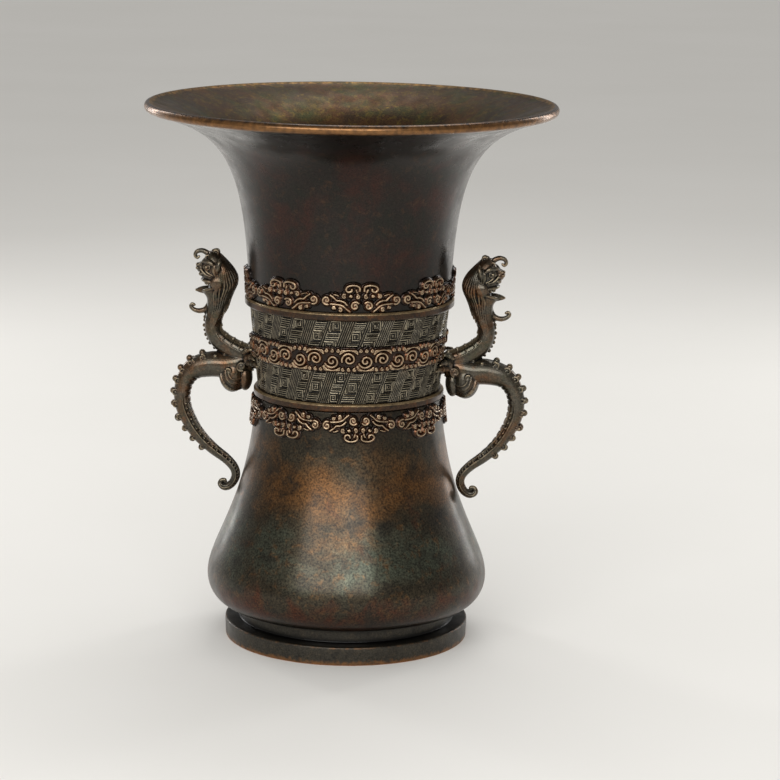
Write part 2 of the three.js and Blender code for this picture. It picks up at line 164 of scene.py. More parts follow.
def softbox(name, bearing, elevation, distance, width, height, watts):
    """Rectangular lamp that looks at the vase; degrees from the front and up, sizes in metres"""
    lamp_data = bpy.data.lights.new(name, "AREA")
    lamp_data.shape = "RECTANGLE"
    lamp_data.size = width
    lamp_data.size_y = height
    lamp_data.energy = watts
    lamp = bpy.data.objects.new(name, lamp_data)
    bearing = math.radians(bearing)
    elevation = math.radians(elevation)
    flat = distance * math.cos(elevation)
    lamp.location = light_target + Vector(
        (flat * math.sin(bearing), -flat * math.cos(bearing), distance * math.sin(elevation)))
    lamp.rotation_euler = (light_target - lamp.location).to_track_quat("-Z", "Y").to_euler()
    lamp.visible_camera = False
    scene.collection.objects.link(lamp)
    return lamp


lamps = [
    softbox("front_softbox", -6, 24, 1.5, 1.7, 0.6, 16),
    softbox("left_strip", -134, 16, 1.2, 0.14, 0.9, 2.8),
    softbox("right_strip", 138, 16, 1.2, 0.14, 0.9, 2.8),
    softbox("top_softbox", 170, 62, 1.4, 0.8, 0.6, 5),
]
print("lamps:", [lamp.name for lamp in lamps])

# %% [markdown]
# ## Patina on cast bronze
# Bronze is cast, chased and then treated with acids and smoke until a dark skin forms. Hands rub the
# skin off the high places, where the copper colour comes through, and dirt stays in the low ones. So
# each mesh carries a value of wear and light: low in the recesses, middling on plain walls and high on
# edges. Besides real wear and dirt, the same value paints shade into grooves and under mouldings, and
# painted highlights onto crests, fine lines and upper edges. The finish mixes its colours by that value
# and by blotches of the size of real stains.

# %% Patina builder
SKIN = 0.4  # the wear-and-light value of a plain wall
dirt_and_shade_starts, dirt_and_shade_full = 0.32, 0.05  # wear-and-light values at which dirt and painted shade start, and at which they are full
wear_and_highlight_fade = 0.3  # span of wear-and-light values over which the skin gives way to bare metal and painted highlight
ragged = 0.45  # how much a noise adds to the wear-and-light value, so that wear and highlight have no clean border
ragged_size = 2.5
polish_size = 9  # patches that are a little more or less glossy
polish_gain, polish_loss = 0.07, 0.1  # how far the roughness falls and rises in them
pit_depth = 0.08
metal_share = 0.85  # the skin of oxide dulls the rest
stain_edge = 0.62  # noise level at which a stain of no share would start
stain_gain = 0.3  # how far a full share lowers that level
stain_fade = 0.2  # span of noise levels over which a stain fades in
band_pull = 0.13  # how strongly a stain keeps to its height


def patina_bronze(name, skin, recess, bare_and_highlight, blotches, roughness, grain=0.8, grain_depth=0.45,
                  bare_and_highlight_from=0.82, wax=0.25):
    """Cast bronze with stains, grain, dirt and painted shade, wear and painted highlights. A blotch holds
    its colour, its size in mm and the share of the skin that it covers, and may hold the height it gathers
    at and its spread in mm"""
    material = bpy.data.materials.new(name)
    material.use_nodes = True
    tree = material.node_tree
    shader = tree.nodes["Principled BSDF"]
    place = add_node(tree, "TexCoord").outputs["Object"]
    height = add_node(tree, "SeparateXYZ", {"Vector": place}).outputs["Z"]
    wear_and_light = add_node(tree, "Attribute", attribute_name="wear_and_light").outputs["Fac"]

    # Stains in the skin, from the widest to the smallest
    colour = linear(skin)
    for stain, size, share, *band in blotches:
        cloud = add_node(tree, "TexNoise", {
            "Vector": place, "Scale": 1 / (size * MM), "Detail": 7.0, "Roughness": 0.62, "Distortion": 0.5})
        amount = cloud.outputs["Fac"]
        if band:
            middle, spread = band
            offset = add_node(tree, "Math", {0: height, 1: middle * MM}, operation="SUBTRACT")
            away = add_node(tree, "Math", {0: offset.outputs[0]}, operation="ABSOLUTE")
            gathered = add_node(tree, "MapRange", {
                "Value": away.outputs[0], "From Max": spread * MM, "To Min": band_pull, "To Max": -band_pull})
            amount = add_node(tree, "Math", {0: amount, 1: gathered.outputs["Result"]}).outputs[0]
        edge = stain_edge - stain_gain * share
        cover = add_node(tree, "MapRange", {"Value": amount, "From Min": edge, "From Max": edge + stain_fade})
        stained = add_node(tree, "Mix", {
            0: cover.outputs["Result"], MIX_A: colour, MIX_B: linear(stain)}, data_type="RGBA")
        colour = stained.outputs[MIX_RESULT]

    # Grain of the cast surface: the real one is about 0.2 mm and too fine to show, so it is drawn coarser
    speck = add_node(tree, "TexNoise", {
        "Vector": place, "Scale": 1 / (grain * MM), "Detail": 5.0, "Roughness": 0.62})
    speck_tone = add_node(tree, "MapRange", {
        "Value": speck.outputs["Fac"], "From Min": 0.33, "From Max": 0.67,
        "To Min": 1 - grain_depth, "To Max": 1 + grain_depth})
    grained = add_node(tree, "Mix", {
        0: 1.0, MIX_A: colour, MIX_B: speck_tone.outputs["Result"]}, data_type="RGBA", blend_type="MULTIPLY")

    # Dirt and painted shade in the recesses, bare metal on what hands touch and painted highlights on
    # crests and edges, with a ragged border
    dirt_and_shade = add_node(tree, "MapRange", {"Value": wear_and_light, "From Min": dirt_and_shade_starts, "From Max": dirt_and_shade_full})
    dirty_and_shaded = add_node(tree, "Mix", {
        0: dirt_and_shade.outputs["Result"], MIX_A: grained.outputs[MIX_RESULT], MIX_B: linear(recess),
    }, data_type="RGBA")
    rag = add_node(tree, "TexNoise", {"Vector": place, "Scale": 1 / (ragged_size * MM), "Detail": 5.0})
    touched = add_node(tree, "Math", {0: rag.outputs["Fac"], 1: ragged, 2: wear_and_light}, operation="MULTIPLY_ADD")
    wear_and_highlight = add_node(tree, "MapRange", {
        "Value": touched.outputs[0], "From Min": bare_and_highlight_from, "From Max": bare_and_highlight_from + wear_and_highlight_fade})
    worn = add_node(tree, "Mix", {
        0: wear_and_highlight.outputs["Result"], MIX_A: dirty_and_shaded.outputs[MIX_RESULT], MIX_B: linear(bare_and_highlight)}, data_type="RGBA")

    # Gloss that varies in patches, and the pits of the grain
    patches = add_node(tree, "TexNoise", {"Vector": place, "Scale": 1 / (polish_size * MM), "Detail": 4.0})
    gloss = add_node(tree, "MapRange", {
        "Value": patches.outputs["Fac"], "From Min": 0.3, "From Max": 0.7,
        "To Min": roughness - polish_gain, "To Max": roughness + polish_loss})
    pits = add_node(tree, "Bump", {
        "Strength": 0.35, "Distance": pit_depth * MM, "Height": speck.outputs["Fac"]})
    tree.links.new(worn.outputs[MIX_RESULT], shader.inputs["Base Color"])
    tree.links.new(gloss.outputs["Result"], shader.inputs["Roughness"])
    tree.links.new(pits.outputs["Normal"], shader.inputs["Normal"])
    shader.inputs["Metallic"].default_value = metal_share
    shader.inputs["Coat Weight"].default_value = wax
    shader.inputs["Coat Roughness"].default_value = 0.22
    return material


print("plain walls have the rubbed value", SKIN)

# %% Finishes
# Smoked cast bronze: a near-black brown skin with dull red and green-black clouds
dark_bronze = patina_bronze(
    "smoked_cast_bronze", skin="#221c18", recess="#0f0d0b", bare_and_highlight="#8f6438",
    blotches=[("#341b13", 26, 0.5), ("#1e1d17", 14, 0.5), ("#3c2a1c", 5, 0.25)], roughness=0.29)
# Waxed cast bronze: speckled, with amber stains high on the belly, grey-green ones in its middle and
# red-brown ones at its base, softly polished by wiping
olive_bronze = patina_bronze(
    "waxed_cast_bronze", skin="#3b3427", recess="#15120e", bare_and_highlight="#8d6a3f",
    blotches=[("#604122", 40, 0.5, 92, 38), ("#45483b", 27, 0.5, 56, 26), ("#4f2a17", 18, 0.5, 27, 15),
              ("#2a251d", 13, 0.4), ("#604529", 5, 0.25)],
    roughness=0.37, grain=1.0, grain_depth=0.75)
# Cast bronze of the relief: copper-brown, with a pale painted highlight along the crests of its curls
# and painted shade in its grooves
relief_bronze = patina_bronze(
    "relief_cast_bronze", skin="#4a301d", recess="#0a0807", bare_and_highlight="#bfa888",
    blotches=[("#6c4122", 5, 0.5), ("#342a20", 3, 0.35)], roughness=0.21, bare_and_highlight_from=0.88)
# Wiped cast bronze: red-brown mouldings, each with a thin upper edge rubbed bright and painted with a
# highlight, and painted shade underneath
wiped_bronze = patina_bronze(
    "wiped_cast_bronze", skin="#3c2b1d", recess="#0f0c09", bare_and_highlight="#a8916c",
    blotches=[("#5a371b", 7, 0.45), ("#281f17", 4, 0.45)], roughness=0.33, bare_and_highlight_from=0.84)
# Sooty cast bronze: the dark grey foot, worn to orange-brown on the edge that it stands on
sooty_bronze = patina_bronze(
    "sooty_cast_bronze", skin="#3d3931", recess="#0d0c0a", bare_and_highlight="#a06c3c",
    blotches=[("#2e2b26", 10, 0.45), ("#4d4436", 4, 0.35)], roughness=0.46, grain=0.9)
# Grey cast bronze: the handles, with an olive-grey skin and tan wear; the same tan is painted on the
# neck plates as light
grey_bronze = patina_bronze(
    "grey_cast_bronze", skin="#4b463c", recess="#0f0d0b", bare_and_highlight="#998a70",
    blotches=[("#644326", 14, 0.5), ("#403f30", 7, 0.42), ("#66594a", 3, 0.25)], roughness=0.27)
# Chased cast bronze: a dark grey ground with painted shade between the lines, and a painted highlight
# on the fine raised lines
fret_bronze = patina_bronze(
    "chased_cast_bronze", skin="#302b24", recess="#090807", bare_and_highlight="#a0967f",
    blotches=[("#463624", 12, 0.45), ("#2d2b24", 6, 0.4)], roughness=0.3, bare_and_highlight_from=0.7)
# Weathered cast bronze: the inside of the mouth, brown and olive, flecked with yellow-green
mouth_bronze = patina_bronze(
    "weathered_cast_bronze", skin="#39291a", recess="#14100b", bare_and_highlight="#b3884c",
    blotches=[("#50361d", 26, 0.6), ("#3b391e", 15, 0.5), ("#5f4d1f", 3, 0.35)], roughness=0.42, wax=0.0)
print("finishes:", [material.name for material in bpy.data.materials if "bronze" in material.name])

# %% [markdown]
# ## Turned sections
# The foot, belly, waist, neck and ring mouldings are all round, so each is an outline spun about the
# axis, as a founder's strickle board sweeps clay. Outlines are corners with a rounding, and the long
# walls are Bezier curves. The radii and heights come from the imported solids. Walls are darker near
# the mouldings and the foot.

# %% Outline helpers
def reach(node):
    """Radius, lowest and highest place of a turned solid, in mm"""
    low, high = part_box(node)
    return high[0] / MM, low[2] / MM, high[2] / MM


def bezier(a, b, c, d, steps):
    """Points on a cubic Bezier curve"""
    t = np.linspace(0, 1, steps + 1)[:, None]
    a, b, c, d = (np.array(p, float) for p in (a, b, c, d))
    return (1 - t) ** 3 * a + 3 * (1 - t) ** 2 * t * b + 3 * (1 - t) * t ** 2 * c + t ** 3 * d


def inner_side(curve, wall):
    """A curve's points moved by one wall towards the hollow"""
    way = np.gradient(curve, axis=0)
    way /= np.linalg.norm(way, axis=1)[:, None]
    return curve + wall * np.stack((-way[:, 1], way[:, 0]), axis=1)


def as_corners(points, wear_and_light=SKIN):
    """Points of a curve as corners without rounding, with one wear-and-light value or a table of it by height
    """
    if isinstance(wear_and_light, dict):
        return [(r, z, 0, np.interp(z, list(wear_and_light), list(wear_and_light.values()))) for r, z in points]
    return [(r, z, 0, wear_and_light) for r, z in points]


def soften(corners, steps=5):
    """Outline of radius, height and wear-and-light value, from corners that also hold a rounding"""
    outline = []
    for i, (r, z, rounding, wear_and_light) in enumerate(corners):
        here = np.array((r, z))
        if rounding == 0:
            outline.append((r, z, wear_and_light))
            continue
        before = np.array(corners[i - 1][:2]) - here
        after = np.array(corners[(i + 1) % len(corners)][:2]) - here
        start = here + before * min(0.5, rounding / np.linalg.norm(before))
        end = here + after * min(0.5, rounding / np.linalg.norm(after))
        for t in np.linspace(0, 1, steps):
            outline.append((*((1 - t) ** 2 * start + 2 * t * (1 - t) * here + t ** 2 * end), wear_and_light))
    return np.array(outline)


print("foot, radius and heights in mm:", [round(v, 1) for v in reach("foot_ring")])

# %% Spinning an outline
turned_segments = 192
fine_segments = 256


def spun(outline, segments):
    """Radius, height and wear-and-light value of every point of a spun outline, as grids, and the angles"""
    angles = np.arange(segments) * 2 * math.pi / segments
    radius, height, wear_and_light = (np.repeat(column[:, None], segments, axis=1) for column in outline.T)
    return radius, height, wear_and_light, angles


def ring_faces(rows, segments):
    """Quads of a grid that closes on itself both ways"""
    row, column = np.meshgrid(np.arange(rows), np.arange(segments), indexing="ij")
    up, on = (row + 1) % rows, (column + 1) % segments
    corners = (row * segments + column, row * segments + on, up * segments + on, up * segments + column)
    return np.stack([c.ravel() for c in corners], axis=1)


def on_cylinder(radius, angles, height):
    """Points from a radius, an angle and a height"""
    return np.stack((radius * np.cos(angles), radius * np.sin(angles), height), axis=-1)


print("a turned piece has", turned_segments, "or", fine_segments, "segments")

# %% Making a piece
weld = 0.001  # points closer than this become one
plain_angle, relief_angle = 35, 80  # degrees; steeper edges stay sharp


def stand_in(name, mesh, node):
    """Puts a mesh into the scene as a named piece that rides on the vase in place of its solid"""
    piece = bpy.data.objects.new(name, mesh)
    scene.collection.objects.link(piece)
    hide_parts(node)
    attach(piece, "root")
    print(name + ":", len(mesh.polygons), "faces")
    return piece


def make_piece(name, points, faces, wear_and_light, material, node, smooth_angle=plain_angle):
    """A named piece from points in mm, faces and wear-and-light values"""
    mesh = bpy.data.meshes.new(name)
    mesh.from_pydata((points.reshape(-1, 3) * MM).tolist(), [], faces.tolist())
    mesh.attributes.new("wear_and_light", "FLOAT", "POINT").data.foreach_set("value", wear_and_light.ravel().astype(float))
    shape = bmesh.new()
    shape.from_mesh(mesh)
    bmesh.ops.remove_doubles(shape, verts=shape.verts, dist=weld * MM)
    bmesh.ops.recalc_face_normals(shape, faces=shape.faces)
    shape.to_mesh(mesh)
    shape.free()
    mesh.shade_smooth()
    mesh.set_sharp_from_angle(angle=math.radians(smooth_angle))
    mesh.materials.append(material)
    return stand_in(name, mesh, node)


def turned_piece(name, corners, material, node, segments=turned_segments):
    """A spun outline as a piece; its corners hold radius, height, rounding and wear-and-light value"""
    outline = soften(corners)
    radius, height, wear_and_light, angles = spun(outline, segments)
    points = on_cylinder(radius, angles[None, :], height)
    return make_piece(name, points, ring_faces(len(outline), segments), wear_and_light, material, node)


print("points closer than", weld, "mm are welded")

# %% [markdown]
# ## Foot, base and belly
# The foot is a heavy ring: an upright band with a crisp upper edge, a flat top painted with shade, and
# a stem that rises from it to the belly. A disc closes the bottom. The belly sits low and round, then
# draws in to a long shoulder: two Bezier curves that meet at the widest place, with the same tangent,
# keep that line unbroken.

# %% Foot ring and base plate
wall = 4.2
clearance = 0.3
foot_swell = 0.4
ring_width = 5.5
band_top = 9.8
stem_radius = 57.6
ledge_bottom = 7.3
ledge_width = 4
foot_reach, _, stem_top = reach("foot_ring")
foot_radius = foot_reach - foot_swell
seat_radius = stem_radius - wall
plate_radius, plate_bottom, plate_top = reach("base_plate")
ledge_top = plate_bottom - clearance
# painted shade on the flat top and in the cove at the stem's foot; the edge that the foot stands on is worn
# orange-brown
turned_piece("foot", [
    (foot_radius - ring_width, 0, 0.8, 0.5), (foot_radius, 0, 0.6, 0.95),
    (foot_radius + 0.1, 0.8, 0.3, 0.72), (foot_reach, band_top - 2.5, 2, SKIN),
    (foot_reach - 0.1, band_top, 0.7, 0.6), (foot_radius - 1.4, band_top + 0.3, 0.5, 0.2),
    (stem_radius, ledge_top, 0.8, 0.05), (stem_radius, stem_top - 3, 1, 0.3),
    (stem_radius, stem_top, 0.3, 0.1), (seat_radius, stem_top, 0.3, 0.1), (seat_radius, ledge_top, 0, 0.1),
    (seat_radius - ledge_width, ledge_top, 0, 0.2), (seat_radius - ledge_width, ledge_bottom, 0.4, 0.3),
    (seat_radius, ledge_bottom, 0, 0.2), (foot_radius - ring_width, 4.5, 1, 0.3),
], sooty_bronze, "foot_ring")
turned_piece("base_disc", [
    (0, plate_bottom, 0, SKIN), (plate_radius * 0.5, plate_bottom, 0, SKIN),
    (plate_radius, plate_bottom, 0.3, 0.3), (plate_radius, plate_top, 0.3, 0.3),
    (plate_radius * 0.5, plate_top, 0, SKIN), (0, plate_top, 0, SKIN),
], dark_bronze, "base_plate")

# %% Belly
belly_radius, spigot_bottom, body_top = reach("body_shell")
body_bottom = stem_top + clearance
widest = body_bottom + 16.5
shoulder_radius = 49.6
socket_radius = 46.7
spigot_radius = seat_radius - clearance
body_bore = spigot_radius - 3
underside = bezier(
    (stem_radius, body_bottom), (belly_radius - 5, body_bottom), (belly_radius, widest - 8.2),
    (belly_radius, widest), 14)
flank = bezier(
    (belly_radius, widest), (belly_radius, widest + 17.3), (shoulder_radius + 2.8, body_top - 57.9),
    (shoulder_radius, body_top), 40)
inside = inner_side(flank, wall)[::-1]
inside = inside[inside[:, 0] > socket_radius]
inner_floor = inner_side(underside, wall)[::-1]
inner_floor = inner_floor[inner_floor[:, 0] > stem_radius][1:]
# the belly is darker towards the foot and under the lower border, lighter in between
belly_tone = {
    body_bottom: 0.12, body_bottom + 7: 0.2, widest: 0.28, widest + 14: 0.4, body_top - 36: 0.42,
    body_top - 20: 0.26, body_top: 0.14}
turned_piece("belly", [
    (body_bore, spigot_bottom, 0.3, 0.2), (spigot_radius, spigot_bottom, 0.3, 0.2),
    (spigot_radius, body_bottom, 0, 0.1), *as_corners(underside, belly_tone),
    *as_corners(flank[1:-1], belly_tone), (shoulder_radius, body_top, 0.4, 0.2),
    (socket_radius, body_top, 0.3, 0.2), *as_corners(inside, 0.3), *as_corners(inner_floor, 0.3),
    (body_bore, body_bottom + wall, 1.5, 0.3),
], olive_bronze, "body_shell")

# %% [markdown]
# ## Ring mouldings and neck
# The two fillets cover the seams. Their upper edges are bevelled, rubbed bright and painted with a
# highlight, so they read as thin pale lines, and their undersides are painted with shade. The neck is
# one long curve from the upper fillet to the lip, which ends in a round bead.
# The inside of the mouth is seen too, and has its own stained finish.

# %% Fillets
bevel = 0.7
neck_spigot_radius = 50.0


def fillet(name, node, bore):
    """Ring moulding with a flat face, an upper bevel rubbed bright with a painted highlight and painted
    shade underneath; gives back its bottom and its top
    """
    radius, bottom, top = reach(node)
    # painted shade under the moulding, and a painted highlight with wear on its upper bevel
    turned_piece(name, [
        (bore, bottom, 0, 0.1), (radius - 1.5, bottom, 0, 0.05), (radius - bevel, bottom, 0.2, 0.25),
        (radius, bottom + bevel, 0.2, 0.45), (radius, bottom + 2 * bevel, 0, SKIN),
        (radius, top - 2 * bevel, 0, SKIN), (radius, top - bevel, 0.2, 0.8), (radius - bevel, top, 0.2, 0.95),
        (radius - 1.8, top, 0, 0.7), (bore, top, 0, 0.1),
    ], wiped_bronze, node, fine_segments)
    return bottom, top


_, lower_fillet_top = fillet("lower_moulding", "lower_fillet", socket_radius)
upper_fillet_bottom, upper_fillet_top = fillet(
    "upper_moulding", "upper_fillet", neck_spigot_radius + clearance)

# %% Neck
mouth_reach, neck_spigot_bottom, neck_top = reach("neck_trumpet")
lip_bead = 2.45
lip_radius = mouth_reach - lip_bead
neck_bottom = upper_fillet_top + clearance
neck_bottom_radius = 53.4
spigot_bore = neck_spigot_radius - 2
trumpet = bezier(
    (neck_bottom_radius, neck_bottom), (neck_bottom_radius + 2.7, neck_top - 27.8),
    (lip_radius - 37.9, neck_top - 15.4), (lip_radius, neck_top - 2 * lip_bead), 60)
hollow = inner_side(trumpet, wall)[::-1][2:-1]
bead_turn = np.linspace(-0.5, 0.75, 12) * math.pi
bead_rise = neck_top - lip_bead + lip_bead * np.sin(bead_turn)
bead = np.stack((lip_radius + lip_bead * np.cos(bead_turn), bead_rise), axis=1)
bead_front = 7  # the first points of the bead face outward and are rubbed most
neck_tone = {
    neck_bottom: 0.2, neck_bottom + 22: 0.3, neck_bottom + 45: 0.4, neck_top - 30: 0.38, neck_top - 8: 0.3,
    neck_top: 0.45}
neck = turned_piece("neck", [
    (spigot_bore, neck_spigot_bottom, 0.3, 0.2), (neck_spigot_radius, neck_spigot_bottom, 0.3, 0.2),
    (neck_spigot_radius, neck_bottom, 0, 0.1), *as_corners(trumpet[:-1], neck_tone),
    *as_corners(bead[:bead_front], 0.78), *as_corners(bead[bead_front:], 0.66), *as_corners(hollow),
    (spigot_bore, neck_bottom, 0.6, 0.3),
], dark_bronze, "neck_trumpet", fine_segments)
neck.data.materials.append(mouth_bronze)
for quad in neck.data.polygons:
    if quad.normal.xy.dot(quad.center.xy) < 0:
        quad.material_index = 1
print("lip radius:", round(lip_radius, 1), "mm")

# %% [markdown]
# ## The fret ground of the waist
# The waist is chased with a thunder fret: leaning columns where blocks of level lines take turns with
# square spirals, and hatching between the columns. The lines are real relief here. Each point of a fine
# grid is lifted by a formula, because a bump map would vanish at the edge of the form. The ground between
# the lines is painted with shade, and the lines with a highlight.

# %% Fret
waist_bottom = lower_fillet_top + clearance
waist_top = upper_fillet_bottom - clearance
waist_bottom_radius = 48.6
waist_top_radius = 53.0
waist_girth = math.pi * (waist_bottom_radius + waist_top_radius)
fret_repeats = 16
fret_period = waist_girth / fret_repeats
fret_pitch = 1.1  # from line to line
fret_row = 5 * fret_pitch
fret_lean = 0.35  # how far the columns move sideways for each mm of height
fret_depth = 0.5
fret_columns = ((0, 6.4, 0), (12.4, 5.2, 1))  # start, width, and which rows hold spirals
hatch_height = 0.85


def waist_radius(height):
    return np.interp(height, (waist_bottom, waist_top), (waist_bottom_radius, waist_top_radius))


def line(share):
    """1 on a line at each whole number, 0 between, with soft sides"""
    return np.clip(1.5 * np.cos(2 * math.pi * share) + 0.2, 0, 1)


def fret(along, up):
    """Height of the fret, 0 to 1, at places in mm along and up the waist"""
    slanted = np.mod(along - fret_lean * up, fret_period)
    row = np.floor(up / fret_row)
    row_middle = (row + 0.5) * fret_row
    stepped = np.mod(along - fret_lean * row_middle, fret_period)
    height = hatch_height * line(slanted / fret_pitch)
    for start, width, turn in fret_columns:
        dx, dy = stepped - start - width / 2, up - row_middle
        quarter = np.where(np.abs(dx) >= np.abs(dy), np.where(dx > 0, 0, 2), np.where(dy > 0, 1, 3))
        hook = line(np.maximum(np.abs(dx), np.abs(dy)) / fret_pitch - quarter / 4)
        block = np.where(np.mod(row + turn, 2) == 0, line(up / fret_pitch), hook)
        height = np.where((slanted > start) & (slanted < start + width), block, height)
    return height


print("fret period:", round(fret_period, 1), "mm")

# %% Waist
waist_rows = 190
waist_segments = 1260
waist_bore = waist_bottom_radius - wall
waist_spigot_radius = waist_bore + 2
neck_socket_radius = neck_spigot_radius + clearance
socket_floor = waist_top - 10.3
_, waist_spigot_bottom, _ = reach("waist_shell")
outer = np.linspace((waist_bottom_radius, waist_bottom), (waist_top_radius, waist_top), waist_rows)
waist_outline = soften([
    (waist_bore, waist_spigot_bottom, 0.3, 0.2), (waist_spigot_radius, waist_spigot_bottom, 0.3, 0.2),
    (waist_spigot_radius, waist_bottom, 0, 0.1), *as_corners(outer),
    (neck_socket_radius, waist_top, 0.3, 0.2), (neck_socket_radius, socket_floor, 0, 0.2),
    (waist_radius(socket_floor) - wall, socket_floor, 0.3, 0.3), (waist_bore, waist_bottom, 1, 0.3),
])
radius, height, wear_and_light, angles = spun(waist_outline, waist_segments)
at_start = (waist_outline[:, 0] == waist_bottom_radius) & (waist_outline[:, 1] == waist_bottom)
first = int(np.argmax(at_start))
rows = slice(first + 1, first + waist_rows - 1)
chased = fret(angles[None, :] * waist_girth / (2 * math.pi), height[rows] - waist_bottom)
radius[rows] += fret_depth * (chased - 1)
# painted shade on the ground between the lines, and a painted highlight on the lines
wear_and_light[rows] = 0.05 + 0.7 * chased
make_piece("chased_waist", on_cylinder(radius, angles[None, :], height), ring_faces(*radius.shape), wear_and_light,
           fret_bronze, "waist_shell", relief_angle)

# %% [markdown]
# ## Cloud scrolls
# The borders and the belt are bands of curling clouds in high relief. Each cloud is drawn as strokes: a
# spiral, or a flowing line. A fine grid over the wall is raised by its distance to the nearest stroke,
# which gives round ridges with grooves, all on a low plate that follows their outline. The plate and the
# grooves are painted with shade, and the crests with a highlight.

# %% Strokes
def flowing(stops, per_span=8):
    """Smooth line through stops of any number of values"""
    stops = np.array(stops, float)
    padded = np.vstack((2 * stops[0] - stops[1], stops, 2 * stops[-1] - stops[-2]))
    t = np.linspace(0, 1, per_span, endpoint=False)[:, None]
    spans = []
    for a, b, c, d in zip(padded, padded[1:], padded[2:], padded[3:]):
        spans.append(0.5 * (2 * b + (c - a) * t + (2 * a - 5 * b + 4 * c - d) * t ** 2
                            + (3 * b - a - 3 * c + d) * t ** 3))
    return np.vstack((*spans, stops[-1:]))


def spiral(across, up, size, turns, start, way=1, steps=36):
    """Spiral stroke from its outer end at an angle in degrees to its middle"""
    t = np.linspace(0, 1, steps)
    angle = math.radians(start) + way * turns * 2 * math.pi * t
    arm = size * (1 - 0.86 * t)
    return np.stack((across + arm * np.cos(angle), up + arm * np.sin(angle)), axis=1)


print("a spiral stroke has", len(spiral(0, 0, 1, 1, 0)), "points")

# %% Relief
plate_height = 0.95
plate_margin = 1.0
plate_slope = 0.5  # width of the plate's sloping edge
ridge_height = 1.35
crest_highlight_from = 0.86  # share of a ridge's height above which it gets a painted highlight
sink = -0.5  # the sheet dips this far under the wall round the plate
sheet_back = 0.3  # from there down to the back of the sheet
far = 99.0  # beyond any distance here


def relief(strokes, across, up):
    """Ridge height, 0 to 1, and distance outside the nearest ridge, for strokes of a line and half width"""
    ridge = np.zeros(across.shape)
    outside = np.full(across.shape, far)
    for stroke, half in strokes:
        distance = np.full(across.shape, far)
        for (ax, ay), (bx, by) in zip(stroke, stroke[1:]):
            dx, dy = bx - ax, by - ay
            t = np.clip(((across - ax) * dx + (up - ay) * dy) / (dx * dx + dy * dy), 0, 1)
            distance = np.minimum(distance, np.hypot(across - ax - t * dx, up - ay - t * dy))
        ridge = np.maximum(ridge, np.sqrt(np.clip(1 - (distance / half) ** 2, 0, None)))
        outside = np.minimum(outside, distance - half)
    return ridge, outside


def raised(ridge, outside):
    """Lift over the wall, and wear-and-light value: plates with painted shade, brown flanks and crests
    with a painted highlight
    """
    edge = np.clip((plate_margin - outside) / plate_slope, 0, 1)
    edge = edge * edge * (3 - 2 * edge)
    lift = sink + edge * (plate_height - sink) + ridge_height * ridge
    # painted highlight on each crest, and painted shade on the plate round the ridges
    crest = np.clip((ridge - crest_highlight_from) / (1 - crest_highlight_from), 0, 1)
    ridge_shade_and_highlight = 0.12 + 0.4 * np.minimum(1, 1.25 * ridge) + 0.4 * crest
    return lift, np.where(outside < 0, ridge_shade_and_highlight, 0.04 + 0.06 * edge)


print("relief stands", plate_height + ridge_height, "mm over the wall")

# %% Relief as a piece
rim_rise = 0.05  # cells that rise less than this are left out


def relief_faces(kept, endless):
    """Front, back and rim quads of the kept cells of a grid; back points follow the front points"""
    columns, rows_up = kept.shape
    count = columns + (0 if endless else 1)
    number = np.arange(count * (rows_up + 1)).reshape(count, rows_up + 1)
    if endless:
        number = np.vstack((number, number[:1]))
    back = count * (rows_up + 1)
    corner = [number[:-1, :-1], number[1:, :-1], number[1:, 1:], number[:-1, 1:]]
    front = np.stack([c[kept] for c in corner], axis=1)
    faces = [front, front[:, ::-1] + back]
    around = np.pad(kept, 1, mode="constant")
    if endless:
        around[0, 1:-1], around[-1, 1:-1] = kept[-1], kept[0]
    neighbours = [around[1:-1, :-2], around[2:, 1:-1], around[1:-1, 2:], around[:-2, 1:-1]]
    for side, neighbour in enumerate(neighbours):
        open_rim = kept & ~neighbour
        a, b = corner[side][open_rim], corner[(side + 1) % 4][open_rim]
        faces.append(np.stack((b, a, a + back, b + back), axis=1))
    return np.vstack(faces)


def relief_piece(name, angles, heights, wall_at, lift, wear_and_light, endless, node):
    """A relief sheet on the wall as a closed piece"""
    angle, height = np.meshgrid(angles, heights, indexing="ij")
    base = wall_at(height)
    front = on_cylinder(base + lift, angle, height)
    behind = on_cylinder(base + sink - sheet_back, angle, height)
    above = lift > sink + rim_rise
    if endless:
        above = np.vstack((above, above[:1]))
    kept = above[:-1, :-1] | above[1:, :-1] | above[1:, 1:] | above[:-1, 1:]
    faces = relief_faces(kept, endless)
    points = np.vstack((front.reshape(-1, 3), behind.reshape(-1, 3)))
    shade = np.concatenate((wear_and_light.ravel(), np.full(wear_and_light.size, 0.1)))
    used, faces = np.unique(faces, return_inverse=True)
    return make_piece(
        name, points[used], faces.reshape(-1, 4), shade[used], relief_bronze, node,
        relief_angle)


print("the back of a sheet lies", sheet_back - sink, "mm under the wall's face")

# %% [markdown]
# ## The two cloud borders
# Eight motifs ring the neck over the upper fillet, and the same eight hang upside down under the lower
# one. A motif is a lappet of curls with a wing on each side, and its right half is drawn here. The left
# half is its mirror image. Neighbouring wings meet in a pair of spirals.

# %% Cloud borders
motif_count = 8
motif_width = 42.6
motif_height = 15.4
motif_columns, motif_rows = 144, 58  # points of the grid over one motif
border_turn = math.radians(11.3)


